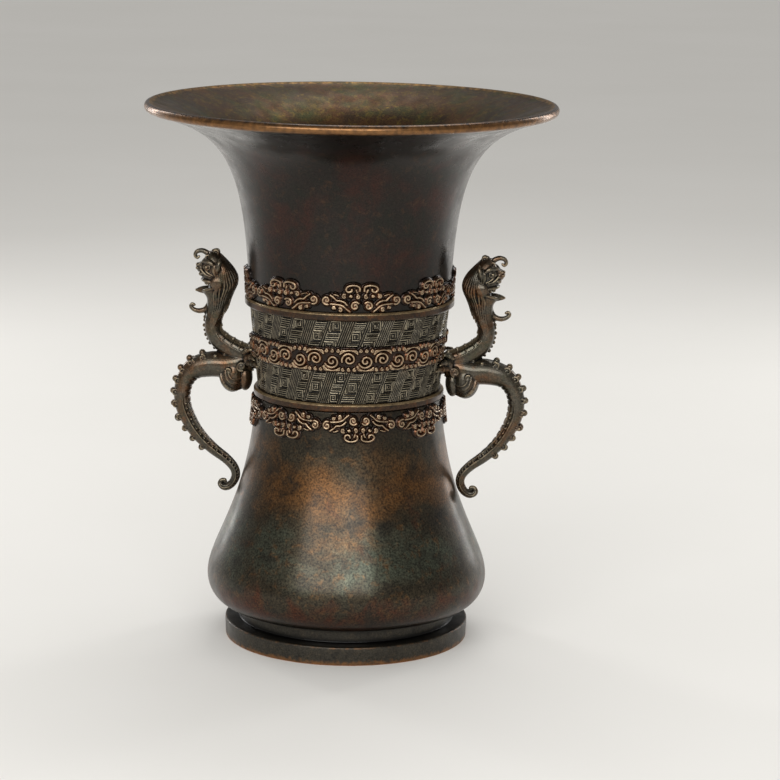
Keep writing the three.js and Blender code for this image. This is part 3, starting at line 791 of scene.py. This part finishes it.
def cloud_motif():
    """Strokes of the right half: a line and its half width"""
    return [
        (spiral(3.4, 3.7, 2.3, 1.35, 140, -1), 0.95),
        (spiral(17.9, 6.5, 2.35, 1.3, 250, 1), 0.95),
        (spiral(10.9, 1.6, 1.15, 1.1, 60, 1), 0.8),
        (spiral(14.3, 2.5, 0.95, 1.0, 200, -1), 0.75),
        (spiral(8.9, 8.7, 1.25, 1.2, 120, -1), 0.8),
        (spiral(2.2, 8.5, 1.15, 1.1, 90, 1), 0.8),
        (spiral(5.5, 8.7, 0.7, 1.0, 0, 1), 0.8),
        (flowing([(1.1, 11.6), (1.5, 13.7), (4.4, 14.5), (7.2, 13.8), (8.0, 12.2), (6.8, 11.0), (5.3, 11.5),
                  (5.1, 12.4)]), 0.95),
        (flowing([(2.4, 10.9), (3.0, 12.2)]), 0.8),
        (flowing([(16.0, 9.2), (14.0, 7.8), (12.6, 6.5), (10.8, 6.4), (8.8, 5.6), (7.4, 4.2)]), 0.85),
        (flowing([(15.8, 4.6), (13.8, 4.5), (11.6, 4.3), (9.4, 3.6), (7.6, 2.0), (6.0, 0.8)]), 0.85),
        (flowing([(11.6, 8.9), (13.0, 9.4), (14.2, 9.6)]), 0.6),
    ]


def cloud_border(name, node, wall_at, start, way):
    """Ring of motifs that stands up from a height (way 1) or hangs from it (way -1)"""
    across = np.linspace(-motif_width / 2, motif_width / 2, motif_columns, endpoint=False)
    up = np.linspace(-0.6, motif_height + 1, motif_rows)
    grid_across, grid_up = np.meshgrid(np.abs(across), up, indexing="ij")
    lift, wear_and_light = raised(*relief(cloud_motif(), grid_across, grid_up))
    pitch = 2 * math.pi / motif_count
    one = across / motif_width * pitch + border_turn - math.pi / 2
    angles = np.concatenate([one + motif * pitch for motif in range(motif_count)])
    lift, wear_and_light = np.tile(lift, (motif_count, 1)), np.tile(wear_and_light, (motif_count, 1))
    return relief_piece(name, angles, start + way * up, wall_at, lift, wear_and_light, True, node)


def neck_radius(height):
    return np.interp(height, trumpet[:, 1], trumpet[:, 0])


def flank_radius(height):
    return np.interp(height, flank[:, 1], flank[:, 0])


cloud_border("upper_cloud_scrolls", "upper_cloud_border", neck_radius, neck_bottom, 1)
cloud_border("lower_cloud_scrolls", "lower_cloud_border", flank_radius, body_top, -1)

# %% [markdown]
# ## The belt of the waist
# Two half belts run from handle to handle across the fret. Big spirals roll along the middle, one a
# little high and the next a little low. Each has a cloud crest on one side and a row of three small
# curls on the other. The same strokes and relief make them, repeated eight times on each half.

# %% Belts
belt_middle = waist_bottom + 23.5
belt_radius = float(waist_radius(belt_middle))
belt_gap = 11.8  # from the plane of the handles to the belt's end
belt_end = belt_gap / belt_radius
belt_units = 8
belt_plate = 4.2  # half the height of the belt's plate, which has no gaps
belt_half = 7.2  # half the height of the grid
unit_columns, belt_rows = 60, 56  # points of the grid over one unit
unit_width = (math.pi - 2 * belt_end) * belt_radius / belt_units


def belt_unit():
    """Strokes of one unit, measured from its left end and from the middle of the belt"""
    strokes = []
    quarter = 0.25 * unit_width
    for place, lean in ((quarter, 1), (3 * quarter, -1)):
        middle = 0.5 * lean
        strokes.append((spiral(place, middle, 3.7, 1.5, 200, -lean), 0.92))
        over = np.linspace(0.2, 0.8, 12) * math.pi * lean
        crest = np.stack((place + 5.3 * np.cos(over), middle + 4.95 * np.sin(over)), axis=1)
        strokes.append((crest, 0.75))
        for small in (-2.9, 0, 2.9):
            strokes.append((spiral(place + small, -5.0 * lean, 0.95, 1.1, 90, lean), 0.68))
        strokes.append((spiral(place + quarter, -3.4 * lean, 0.5, 1.0, 0), 0.75))
        for side in (-1, 1):
            gap = place + side * quarter
            link = [(gap - 2 * side, 5.4 * lean), (gap - 0.4 * side, 5 * lean), (gap, 3.4 * lean)]
            strokes.append((flowing(link), 0.7))
    return strokes


def belt(name, node, start):
    """Half a belt from one handle round to the other"""
    along = np.linspace(0, unit_width, unit_columns, endpoint=False)
    up = np.linspace(-belt_half, belt_half, belt_rows)
    grid_along, grid_up = np.meshgrid(along, up, indexing="ij")
    ridge, outside = relief(belt_unit(), grid_along, grid_up)
    lift, wear_and_light = raised(ridge, np.minimum(outside, np.maximum(np.abs(grid_up) - belt_plate, 0)))
    steps = np.arange(unit_columns * belt_units) * unit_width / unit_columns
    angles = start + belt_end + steps / belt_radius
    lift, wear_and_light = np.tile(lift, (belt_units, 1)), np.tile(wear_and_light, (belt_units, 1))
    return relief_piece(name, angles, belt_middle + up, waist_radius, lift, wear_and_light, False, node)


belt("front_scroll_belt", "waist_belt_front", -math.pi)
belt("rear_scroll_belt", "waist_belt_rear", 0)

# %% [markdown]
# ## The dragon handles
# Each handle is a dragon cast in one piece: a neck that rises from the waist, a maned head that looks
# outward, and a tail that arches down to the belly. Many round bars and lumps are laid into each other
# and fused by a voxel remesh, which blends their joints the way wax does before casting.

# %% Places beside the vase
root = waist_bottom + 12
tail_end_rise = -66
head_rise = 44
root_radius = float(waist_radius(root))
tail_end_radius = float(flank_radius(root + tail_end_rise))
head_radius = float(neck_radius(root + head_rise))


def beside(rise):
    """Radius of the line beside the vase that the handle is measured from"""
    rise = np.asarray(rise, float)
    below = root_radius + (tail_end_radius - root_radius) * rise / tail_end_rise
    return np.where(rise < 0, below, root_radius + (head_radius - root_radius) * rise / head_rise)


def placed(stops):
    """Points and half thickness from stops of distance out, rise, distance sideways and half thickness"""
    stops = np.array(stops, float)
    return np.stack((beside(stops[:, 1]) + stops[:, 0], stops[:, 2], root + stops[:, 1], stops[:, 3]), axis=1)


def spot(out, rise, sideways=0):
    """One point from its distance out, its rise and its distance sideways"""
    return placed([(out, rise, sideways, 0)])[0, :3]


def flat_stops(stops):
    """Stops in the middle plane of the handle, from distance out, rise and half thickness"""
    return [(out, rise, 0, half) for out, rise, half in stops]


print("handle root at", round(root_radius, 1), "mm from the axis,", round(root, 1), "mm up")

# %% Bars and lumps
end_stops = ((0.55, 0.84), (0.95, 0.3))  # how far beyond an end, and how thick, in half thicknesses
proud = 0.1  # how far small shapes stand off the skin of a bar


def bar_frame(path):
    """Directions square to a path: leftward as it runs, in the plane of the handle, and sideways"""
    way = np.gradient(path[:, :3], axis=0)
    way /= np.linalg.norm(way, axis=1)[:, None]
    leftward = np.cross(way, (0, 1, 0))
    leftward /= np.linalg.norm(leftward, axis=1)[:, None]
    return leftward, np.cross(leftward, way)


def round_ends(path):
    """Path with two thinner stops added beyond each end"""
    added = []
    for stop, neighbour in ((path[0], path[1]), (path[-1], path[-2])):
        way = stop[:3] - neighbour[:3]
        way = way / np.linalg.norm(way)
        added.append([(*(stop[:3] + way * stop[3] * on), stop[3] * thin) for on, thin in end_stops])
    return np.vstack((added[0][::-1], path, added[1]))


def capped(rings):
    """Points and faces of a closed tube through rings of points"""
    count, sides = rings.shape[:2]
    last = (count - 1) * sides
    faces = ring_faces(count, sides)[:last].tolist()
    return rings.reshape(-1, 3), faces + [list(range(sides)), list(range(last, last + sides))]


def bar(path, sides=14, depth=1.0, swell=None, rounded=True):
    """Closed round bar along a path of points and half thickness"""
    if rounded:
        path = round_ends(path)
    leftward, sideways = bar_frame(path)
    turn = np.arange(sides) * 2 * math.pi / sides
    half = np.repeat(path[:, 3:4], sides, axis=1)
    if swell is not None:
        half = half + swell(np.linspace(0, 1, len(path))[:, None], turn[None, :])
    return capped(path[:, None, :3] + (half * np.cos(turn))[:, :, None] * leftward[:, None, :]
                  + (half * depth * np.sin(turn))[:, :, None] * sideways[:, None, :])


def lump(middle, halves, sides=20, rows=12):
    """Closed egg with half sizes outward, sideways and upright"""
    turn = np.arange(sides) * 2 * math.pi / sides
    rise = np.linspace(-0.5, 0.5, rows + 1)[1:-1, None] * math.pi
    unit = np.stack(np.broadcast_arrays(
        np.cos(rise) * np.cos(turn), np.cos(rise) * np.sin(turn), np.sin(rise)), axis=-1)
    points = np.vstack((unit.reshape(-1, 3), (0, 0, -1), (0, 0, 1))) * halves + middle
    top_row = (rows - 2) * sides
    low, high = top_row + sides, top_row + sides + 1
    faces = ring_faces(rows - 1, sides)[:top_row].tolist()
    for side in range(sides):
        on = (side + 1) % sides
        faces.append([low, on, side])
        faces.append([high, top_row + side, top_row + on])
    return points, faces


def on_bar(path, share, turn, lift=0.0, depth=1.0):
    """Point on a bar's skin, by its share of the length and its turn from the leftward side"""
    leftward, sideways = bar_frame(path)
    i = int(round(share * (len(path) - 1)))
    arm = path[i, 3] + lift
    return path[i, :3] + arm * (math.cos(turn) * leftward[i] + depth * math.sin(turn) * sideways[i])


def along_bar(path, start, end, turn, half, depth, stops=26):
    """Thin ridge that follows a bar's skin from one share of its length to another"""
    shares = np.linspace(start, end, stops)
    points = np.array([on_bar(path, share, turn, proud, depth) for share in shares])
    taper = half * np.clip(8 * np.minimum(shares - start, end - shares) / (end - start) + 0.25, 0, 1)
    return bar(np.column_stack((points, taper)), 8)


def curl(middle, size, half, start, way=1, turns=1.3):
    """Small spiral bar that lies in the plane of the handle"""
    out, up = spiral(0, 0, size, turns, start, way, 22).T
    thick = half * np.linspace(1, 0.6, len(out))
    return bar(np.column_stack((middle[0] + out, np.full(len(out), middle[1]), middle[2] + up, thick)), 8)


print("a plain lump has", len(lump((0, 0, 0), (1, 1, 1))[0]), "points")

# %% [markdown]
# ### Neck and tail
# The neck has broad belly plates with raised ribs on the side towards the vase, painted pale as if lit,
# and a row of small teeth down its back. The tail is thick where it leaves the haunch and thins to a curl.
# Round knobs with little curls stand along its back, and its lower part has a bright ridge with beads on
# each side.

# %% Paths, plates and notches
neck_path = flowing(placed(flat_stops([
    (-2, 0.5, 5.6), (6.7, 3.2, 5.4), (13, 6.2, 5.1), (18.9, 10.6, 4.9), (21.4, 16.2, 4.7), (20.9, 22.4, 4.5),
    (19.6, 28, 3.4)])), 14)
tail_path = flowing(placed(flat_stops([
    (3, 0.4, 6.4), (8, -1.2, 6.8), (15.7, -2.7, 7), (23.7, -2.8, 6.9), (31.4, -4.9, 6.1), (35.9, -10, 5.1),
    (37.4, -17.5, 4.6), (35.8, -26, 4.4), (31, -34.8, 4.1), (24.8, -42.4, 3.6), (17.1, -49, 3.1),
    (9.3, -54.4, 2.7), (4.5, -59, 2.5), (2.8, -63.2, 2.4), (3.8, -67.2, 2.25), (6.2, -69.6, 2.05),
    (8.9, -69.9, 1.8), (10.5, -68.4, 1.55), (10, -66.6, 1.3), (8.4, -66.4, 1.1), (7.9, -67.7, 0.9)])), 12)
neck_depth, tail_depth = 1.05, 0.92  # thickness sideways over thickness in the plane of the handle
plates_start, plates_end = 0.08, 0.6  # shares of the neck's length
plate_count = 8.4  # belly plates that would fit on the whole neck
notch_count = 44  # notches that would fit on the whole tail


def belly_plates(share, turn):
    """Plates on the neck's side towards the vase, with a raised rib where two meet"""
    zone = np.clip((share - plates_start) / 0.03, 0, 1) * np.clip((plates_end - share) / 0.05, 0, 1)
    facing = np.clip(2.5 * np.cos(turn) - 0.6, 0, 1)
    rib = np.clip(4 * np.cos(2 * math.pi * share * plate_count) - 3, 0, 1)
    return zone * facing * (0.75 + 0.5 * rib)


def tail_notches(share, turn):
    """Short cuts across the tail's side towards the vase, where it turns down"""
    gate = np.clip((share - 0.2) / 0.03, 0, 1) * np.clip((0.6 - share) / 0.03, 0, 1)
    cut = np.clip(3 * np.cos(2 * math.pi * share * notch_count) - 1.8, 0, 1)
    return -0.7 * gate * cut * np.clip(-np.cos(turn) * 2 - 0.7, 0, 1)


print("tail length:", round(float(np.linalg.norm(np.diff(tail_path[:, :3], axis=0), axis=1).sum())), "mm")

# %% Neck and tail
knob_shares = np.linspace(0.17, 0.475, 10)
knob_stand = 0.35  # from the tail's skin out to the middle of a knob
knob_radius, big_knob_radius = 1.8, 2.3
big_knob = 6  # its number, counted from 0 at the haunch
tooth_shares = np.linspace(0.28, 0.88, 13)
bead_shares = np.linspace(0.34, 0.74, 24)
bead_half = 0.55
domes = ((0.1, 0.5), (0.135, 0.75), (0.165, 0.4))  # share of the tail's length, and turn
dome_halves = (1.1, 1.1, 0.9)
tail_ridges = ((0.3, 0.86, 1.7, 0.5), (0.32, 0.82, 2.4, 0.42))  # start, end, turn and half thickness


def knob(number, share):
    """Ball on the tail's back, and a curl on each side of its foot"""
    radius = big_knob_radius if number == big_knob else knob_radius
    ball = on_bar(tail_path, share, 0, knob_stand)
    shapes = [lump(ball, (radius,) * 3, 18, 12)]
    for side in (-1, 1):
        foot = on_bar(tail_path, share, side * 0.8, proud, tail_depth)
        shapes.append(curl(foot, 1.9, 0.6, 90 + 40 * number, side))
        if number == big_knob:
            shapes.append(curl(ball + np.array((0, side * radius, 0)), 1.5, 0.5, 0, side, 1.6))
    return shapes


def neck_and_tail():
    shapes = [bar(neck_path, 40, neck_depth, belly_plates, False),
              bar(tail_path, 32, tail_depth, tail_notches, False)]
    for number, share in enumerate(tooth_shares):
        size = 1.1 if number % 2 else 0.85
        shapes.append(lump(on_bar(neck_path, share, math.pi, proud), (size, 0.9, size), 10, 8))
    for number, share in enumerate(knob_shares):
        shapes += knob(number, share)
    for side in (-1, 1):
        shapes.append(along_bar(neck_path, plates_start, plates_end, side * 1.25, 0.45, neck_depth))
        for start, end, turn, half in tail_ridges:
            shapes.append(along_bar(tail_path, start, end, side * turn, half, tail_depth, 48))
        for share in bead_shares:
            bead_spot = on_bar(tail_path, share, side * 2.05, proud, tail_depth)
            shapes.append(lump(bead_spot, (bead_half,) * 3, 8, 6))
        for share, turn in domes:
            dome_spot = on_bar(tail_path, share, side * turn, 0, tail_depth)
            shapes.append(lump(dome_spot, dome_halves, 10, 8))
    return shapes


print("neck and tail:", len(neck_and_tail()), "shapes")

# %% [markdown]
# ### Head and mane
# The head is a loft of ovals by height. Brow, ringed eyes, ears, wrinkled snout, teeth, tongue and a
# hooked beard are laid on it, each placed by its height and by its turn round the oval from the front.
# The mane is a sheaf of tapering strands that run down the back of the head and end in points.

# %% Skull and mane
head_rows = flowing([  # rise, distance out of the back and of the front, and half thickness sideways
    (18, 16.2, 25.6, 4.4), (21, 16.4, 25.7, 4.6), (27, 13.8, 24.2, 5.2), (33, 11.2, 23.6, 5.9),
    (36, 9.6, 25.2, 6.2), (37.9, 8.6, 25, 6.4), (39.1, 8, 22.2, 6.5), (41.2, 7, 22, 6.7),
    (42.4, 6.6, 24.6, 6.8), (43.8, 6.3, 25.2, 6.9), (48.5, 7.7, 25.9, 6.8), (51.4, 9.7, 25.2, 6.5),
    (53.4, 11.2, 23.4, 6), (56.5, 14, 21.8, 4.5), (58.3, 15.8, 20, 2.4)], 5)
skull_sides = 36
strand_count = 11
strand_sway = 4  # degrees
thinnest_strand = 0.36


def skull():
    """Loft of the head's ovals"""
    turn = np.arange(skull_sides) * 2 * math.pi / skull_sides
    rise, back, front, depth = head_rows.T[:, :, None]
    out = (back + front) / 2 + beside(rise) + (front - back) / 2 * np.cos(turn)
    return capped(np.stack(np.broadcast_arrays(out, depth * np.sin(turn), root + rise), axis=-1))


def on_head(rise, turn, side, lift):
    """Distance out, rise and distance sideways on the head's skin; turn in degrees from the front"""
    back, front, depth = (np.interp(rise, head_rows[:, 0], head_rows[:, i]) for i in (1, 2, 3))
    turn = math.radians(turn)
    out = (back + front) / 2 + ((front - back) / 2 + lift) * math.cos(turn)
    return out, rise, side * (depth + lift) * math.sin(turn)


def on_head_bar(stops, side):
    """Bar laid on the head, from stops of rise, turn, half thickness and lift"""
    laid = placed([(*on_head(rise, turn, side, lift), half) for rise, turn, half, lift in stops])
    return bar(flowing(laid, 6), 8)


def head_lump(rise, turn, side, halves, lift=0.0):
    """Lump laid on the head"""
    return lump(spot(*on_head(rise, turn, side, lift)), halves, 16, 10)


def mane(side):
    """Strands from the brow and the crown down the side and the back of the head"""
    strands = []
    for k in range(strand_count):
        share_back = k / (strand_count - 1)
        top_rise, top_turn = 52.5 + 5 * share_back, 92 + 84 * share_back
        end_rise, end_turn = 15.8 + 13.5 * share_back ** 1.3, 70 + 108 * share_back
        stops = []
        for share in np.linspace(0, 1, 8):
            rise = top_rise + (end_rise - top_rise) * share
            wave = strand_sway * math.sin(2 * math.pi * (share * 1.4 + 0.08 * k))
            turn = top_turn + (end_turn - top_turn) * share + wave
            half = max(thinnest_strand, 0.2 + 0.4 * math.sin(math.pi * min(1, share * 1.1 + 0.1)))
            stand_off = 0.2 + (0.5 * share ** 3 if share_back > 0.6 else 0)
            stops.append((rise, turn, half, stand_off))
        strands.append(on_head_bar(stops, side))
    return strands


print("the head is a loft of", len(head_rows), "ovals")

# %% Face
eye_rise, eye_turn = 50.6, 60
face_bars = {  # rise, turn, half thickness and lift
    "brow": [(52.2, 18, 0.7, 0.5), (53.5, 42, 1.25, 0.8), (53.3, 72, 1.3, 1), (51, 92, 0.6, 0.6)],
    "ear": [(47.8, 94, 0.9, 0.2), (50.2, 101, 1.7, 1), (53, 110, 1.3, 2), (55.2, 118, 0.4, 2.6)],
    "ear lobe": [(46, 86, 0.6, 0.3), (48.4, 86, 1.05, 0.8), (50.8, 90, 0.8, 1.3), (52, 95, 0.4, 1.5)],
    "upper lip": [(43.4, 8, 0.7, 0.3), (43.2, 36, 0.9, 0.5), (42.8, 60, 0.8, 0.4), (40.6, 80, 0.5, 0.2)],
    "lower lip": [(37.2, 18, 0.8, 0.2), (38.2, 46, 0.9, 0.4), (39.8, 74, 0.6, 0.2)],
    "long fold": [(49.3, 38, 0.5, 1), (47.8, 44, 0.6, 0.6), (46.4, 54, 0.5, 0.3), (45.6, 66, 0.4, 0.2)],
    "short fold": [(48.6, 56, 0.45, 0.4), (47.4, 64, 0.5, 0.3), (46.2, 76, 0.4, 0.2)],
}
face_curls = (  # distance out, rise, distance sideways, size, half thickness, start and way
    (25.2, 50.8, 3.1, 1.2, 0.5, 20, 1), (16.6, 58, 2.2, 1.7, 0.65, 250, -1),
    (20.6, 55.6, 3.4, 1.7, 0.65, 200, 1), (15.2, 50.2, 7.2, 1.3, 0.5, 120, -1))
middle_bars = {  # distance out, rise and half thickness
    "horn": [(18.6, 54.2, 1.8), (20.8, 56.9, 1.55), (23.8, 58.5, 1.35), (26.8, 57.9, 1.15), (27.9, 55.9, 1),
             (27, 54.6, 0.85), (25.9, 55.3, 0.7)],
    "crest": [(17.6, 55, 1.9), (15.9, 57.2, 1.5), (16.6, 58.8, 1.1), (18.1, 58.7, 0.8)],
    "tongue": [(21, 37.5, 2.6), (24.8, 37.5, 2.1), (27.2, 37.4, 1.5), (28.8, 37.3, 0.8)],
    "beard": [(21.2, 33, 1.8), (22.6, 29.6, 1.75), (25, 26.9, 1.55), (28.2, 26, 1.4), (31, 26.6, 1.2),
              (32.6, 28.2, 1.05), (31.9, 29.6, 0.9), (30.7, 29.2, 0.8)],
}
snout_wrinkles = ((25.6, 52), (24.3, 52.7), (23, 53.3))  # distance out and rise
tooth_turns = (16, 29, 42, 55)  # degrees


def face(side):
    """What both sides of the face have"""
    shapes = [head_lump(eye_rise, eye_turn, side, (1, 0.95, 1), 0.35),
              head_lump(42.2, 82, side, (3.4, 1.4, 3.5), 0.05),
              lump(spot(26.9, 49.5, side * 1.7), (1.2, 1.2, 1.05), 12, 8),
              lump(spot(24.6, 46.6, side * 2.9), (2, 1.7, 1.4), 12, 8)]
    eye_ring = [(eye_rise + 1.45 * math.sin(a), eye_turn + 13 * math.cos(a), 0.42, 0.4)
                for a in np.linspace(0, 2 * math.pi, 15)]
    for stops in (eye_ring, *face_bars.values()):
        shapes.append(on_head_bar(stops, side))
    for out, rise, sideways, size, half, start, way in face_curls:
        shapes.append(curl(spot(out, rise, side * sideways), size, half, start, way))
    for tooth_turn in tooth_turns:
        shapes.append(head_lump(42, tooth_turn, side, (0.65, 0.65, 1.5)))
    return shapes


def dragon_head():
    shapes = [skull(), lump(spot(24.4, 49.2), (3.3, 3.8, 2.9)), lump(spot(26.8, 51), (1.3, 1.9, 1.1))]
    for stops in middle_bars.values():
        shapes.append(bar(flowing(placed(flat_stops(stops)), 8), 14))
    for out, rise in snout_wrinkles:
        stops = [(out - 0.14 * y * y, rise - 0.05 * y * y, y, 0.5) for y in (-2.6, -1.3, 0, 1.3, 2.6)]
        shapes.append(bar(flowing(placed(stops), 5), 8))
    for y in (-0.9, 0, 0.9):
        hair = [(22.4, 31.4, y, 0.5), (23.4, 28.7, y, 0.6), (25.4, 26.8, y, 0.6), (28.2, 26.1, y * 0.8, 0.55)]
        shapes.append(bar(flowing(placed(hair), 6) + np.array((0.5, 0, -0.9, 0)), 8))
    for side in (-1, 1):
        shapes += face(side) + mane(side)
    return shapes


print("the head has", len(dragon_head()), "shapes")

# %% [markdown]
# ### Haunch and paws
# Where the handle meets the waist, the dragon crouches: a haunch hangs below the root, with a spiral on
# its joint and a rim round its lower side, and a paw on each side grips the wall with three claws.

# %% Haunch and paws
haunch_place = (11.6, -7.8)
haunch_halves = (7.4, 7.5, 9.8)
rim_middle = (-2.8, 4.2)  # from the haunch's middle
rim_arcs = ((11.6, 1.15), (8.4, 0.5), (6.2, 0.5))  # height of an arc, and its half thickness
rim_narrow = 0.78  # width of an arc over its height
heel_place = (4.6, -9)
heel_halves = (3.9, 6, 7.6)
joint_place = (6.8, -2.2)
palm_place = (3.4, 2.6)
palm_spread = 6.4
claws = (
    [(5.2, 5.5, 7.2, 1.5), (3.4, 6.9, 8.4, 1.4), (1.5, 7.5, 9.6, 1.1), (0.2, 7.1, 10.6, 0.5)],
    [(3.8, 3, 7.4, 1.7), (1.8, 3.3, 9.2, 1.5), (0.3, 3, 10.8, 1.1), (-0.7, 2.3, 12.2, 0.5)],
    [(3, -0.4, 7.6, 1.7), (0.9, 0, 10, 1.5), (-0.8, 0, 12.8, 1.15), (-2.3, -0.4, 15.4, 0.5)],
)


def on_haunch(out, rise, side):
    """Place on the haunch's side, by its distance out and rise from the haunch's middle"""
    rest = max(0.01, 1 - (out / haunch_halves[0]) ** 2 - (rise / haunch_halves[2]) ** 2)
    return haunch_place[0] + out, haunch_place[1] + rise, side * haunch_halves[1] * math.sqrt(rest)


def haunch_and_paws():
    shapes = [lump(spot(*haunch_place), haunch_halves, 28, 18), lump(spot(*heel_place), heel_halves, 28, 18)]
    for side in (-1, 1):
        joint = spiral(*joint_place, 2.5, 1.7, 250, side, 30)
        shapes.append(bar(placed([(out, rise, side * 7.2, 0.6) for out, rise in joint]), 8))
        shapes.append(lump(spot(*joint_place, side * 5.6), (3.1, 1.8, 3.1)))
        for arm, half in rim_arcs:
            stops = []
            for turn in np.linspace(-2.1, 0.3, 16):
                out = rim_middle[0] + rim_narrow * arm * math.cos(turn)
                stops.append((*on_haunch(out, rim_middle[1] + arm * math.sin(turn), side), half))
            shapes.append(bar(placed(stops), 10))
        shapes.append(curl(spot(*on_haunch(1.8, 2.6, side)), 1.5, 0.75, 60))
        shapes.append(lump(spot(*palm_place, side * palm_spread), (2.7, 2.1, 4.8)))
        for claw in claws:
            stops = [(out, rise, side * sideways, half) for out, rise, sideways, half in claw]
            shapes.append(bar(flowing(placed(stops), 6), 12))
            shapes.append(lump(spot(*stops[1][:3]), (1.75,) * 3, 14, 10))
    return shapes


print("haunch and paws:", len(haunch_and_paws()), "shapes")

# %% [markdown]
# ### Fusing, wear and painted light
# All the shapes go into one mesh, and a voxel remesh melts them together. The wear-and-light value of
# each point is how far it stands out from its neighbourhood: the mesh is smoothed, and the distance to the
# smoothed one, along the normal, is large on knobs and strands and negative in the grooves. The plates
# of the neck are painted pale all over, as if lit, so they get one high value.

# %% Fusing
voxel = 0.25


def fused(shapes, name):
    """One mesh from many closed shapes"""
    points, faces, start = [], [], 0
    for shape_points, shape_faces in shapes:
        points.append(shape_points)
        faces += [[start + i for i in corners] for corners in shape_faces]
        start += len(shape_points)
    mesh = bpy.data.meshes.new(name)
    mesh.from_pydata((np.vstack(points) * MM).tolist(), [], faces)
    rough = bpy.data.objects.new(name, mesh)
    scene.collection.objects.link(rough)
    melt = rough.modifiers.new("melt", "REMESH")
    melt.mode = "VOXEL"
    melt.voxel_size = voxel * MM
    polish = rough.modifiers.new("polish", "SMOOTH")
    polish.factor = 0.5
    polish.iterations = 1
    result = bpy.data.meshes.new_from_object(rough.evaluated_get(bpy.context.evaluated_depsgraph_get()))
    bpy.data.objects.remove(rough)
    return result


dragon = fused(neck_and_tail() + dragon_head() + haunch_and_paws(), "dragon")
print("points in a dragon:", len(dragon.vertices))

# %% Wear and painted light of the dragon
wear_reach = 20  # rounds of smoothing, each about a voxel wide
wear_gain = 1.5
wear_from = 0.03
# the belly plates of the neck are painted pale all over, as if lit
plate_painted_light = 0.85
plate_share = (0.1, 0.58)  # of the neck's length
plate_reach = 7.4  # from the middle of the neck
plate_facing = 0.72


def on_plates(points):
    """1 on the belly plates of the neck, 0 elsewhere"""
    start, end = (int(share * len(neck_path)) for share in plate_share)
    leftward, _ = bar_frame(neck_path)
    nearest, facing = np.full(len(points), far), np.zeros(len(points))
    for middle, way in zip(neck_path[start:end, :3], leftward[start:end]):
        arm = points - middle
        distance = np.linalg.norm(arm, axis=1)
        closer = distance < nearest
        nearest = np.where(closer, distance, nearest)
        facing = np.where(closer, arm @ way / distance, facing)
    return (nearest < plate_reach) & (facing > plate_facing)


def standing_out(mesh):
    """Wear-and-light value of each point, from how far it stands out from its neighbourhood, with painted
    light on the neck plates
    """
    count = len(mesh.vertices)
    places, normals = np.empty(count * 3), np.empty(count * 3)
    mesh.vertices.foreach_get("co", places)
    mesh.vertices.foreach_get("normal", normals)
    places, normals = places.reshape(-1, 3), normals.reshape(-1, 3)
    ends = np.empty(len(mesh.edges) * 2, dtype=np.int32)
    mesh.edges.foreach_get("vertices", ends)
    a, b = np.concatenate((ends[::2], ends[1::2])), np.concatenate((ends[1::2], ends[::2]))
    degree = np.bincount(a, minlength=count)
    smooth = places
    for _ in range(wear_reach):
        smooth = np.stack([np.bincount(a, smooth[b, i], count) / degree for i in range(3)], axis=1)
    height = ((places - smooth) * normals).sum(axis=1) / MM
    worn = np.clip(SKIN + wear_gain * (height - wear_from), 0, 1)
    return np.maximum(worn, plate_painted_light * on_plates(places / MM))


dragon.attributes.new("wear_and_light", "FLOAT", "POINT").data.foreach_set("value", standing_out(dragon))
dragon.shade_smooth()
dragon.materials.clear()
dragon.materials.append(grey_bronze)
for side, turn in (("right", 0), ("left", math.pi)):
    mesh = dragon.copy()
    mesh.transform(Matrix.Rotation(turn, 4, "Z"))
    stand_in(side + "_dragon", mesh, side + "_dragon_handle")

# %% [markdown]
# ## Rivets and washers
# Inside the waist, a domed rivet head on a washer holds each handle. They are small turned pieces about
# an axis that is square to the sloping wall, so the same outlines are spun and then laid over.

# %% Rivets and washers
rivet_segments = 40
washer_radius, washer_thickness, washer_sag = 6.0, 1.4, 0.6
rivet_radius, rivet_head_radius, rivet_head_height, rivet_grip = 2.0, 5.0, 2.4, 8.0
washer_bore = rivet_radius + clearance
washer_front = -wall - clearance - washer_sag
washer_back = washer_front - washer_thickness
head_front = washer_back - clearance
wall_slope = math.atan2(waist_top_radius - waist_bottom_radius, waist_top - waist_bottom)
dome = [(rivet_head_radius * math.sin(a), head_front - rivet_head_height * math.cos(a))
        for a in np.linspace(0, math.pi / 2, 9)]
rivet_corners = [
    *as_corners(dome, 0.6), (rivet_radius, head_front, 0.2, 0.2), (rivet_radius, rivet_grip, 0.3, 0.2),
    (0, rivet_grip, 0, 0.2)]
washer_corners = [
    (washer_bore, washer_back, 0.2, 0.3), (washer_radius, washer_back, 0.4, 0.6),
    (washer_radius, washer_front, 0.2, 0.3), (washer_bore, washer_front, 0.2, 0.2)]


def rivet_piece(name, corners, node, turn):
    """Outline spun about the rivet's axis, with heights measured outward from the wall's face"""
    outline = soften(corners)
    radius, height, wear_and_light, angles = spun(outline, rivet_segments)
    points = on_cylinder(radius, angles[None, :], height).reshape(-1, 3)
    to_side = Matrix.Rotation(turn, 3, "Z")
    laid = to_side @ Matrix.Rotation(wall_slope, 3, "Y") @ Matrix.Rotation(math.pi / 2, 3, "Y")
    seat = to_side @ Vector((root_radius, 0, root))
    points = points @ np.array(laid).T + np.array(seat)
    faces = ring_faces(len(outline), rivet_segments)
    make_piece(name, points, faces, wear_and_light, dark_bronze, node)


for side, turn in (("right", 0), ("left", math.pi)):
    rivet_piece(side + "_rivet", rivet_corners, side + "_handle_rivet", turn)
    rivet_piece(side + "_washer", washer_corners, side + "_rivet_washer", turn)
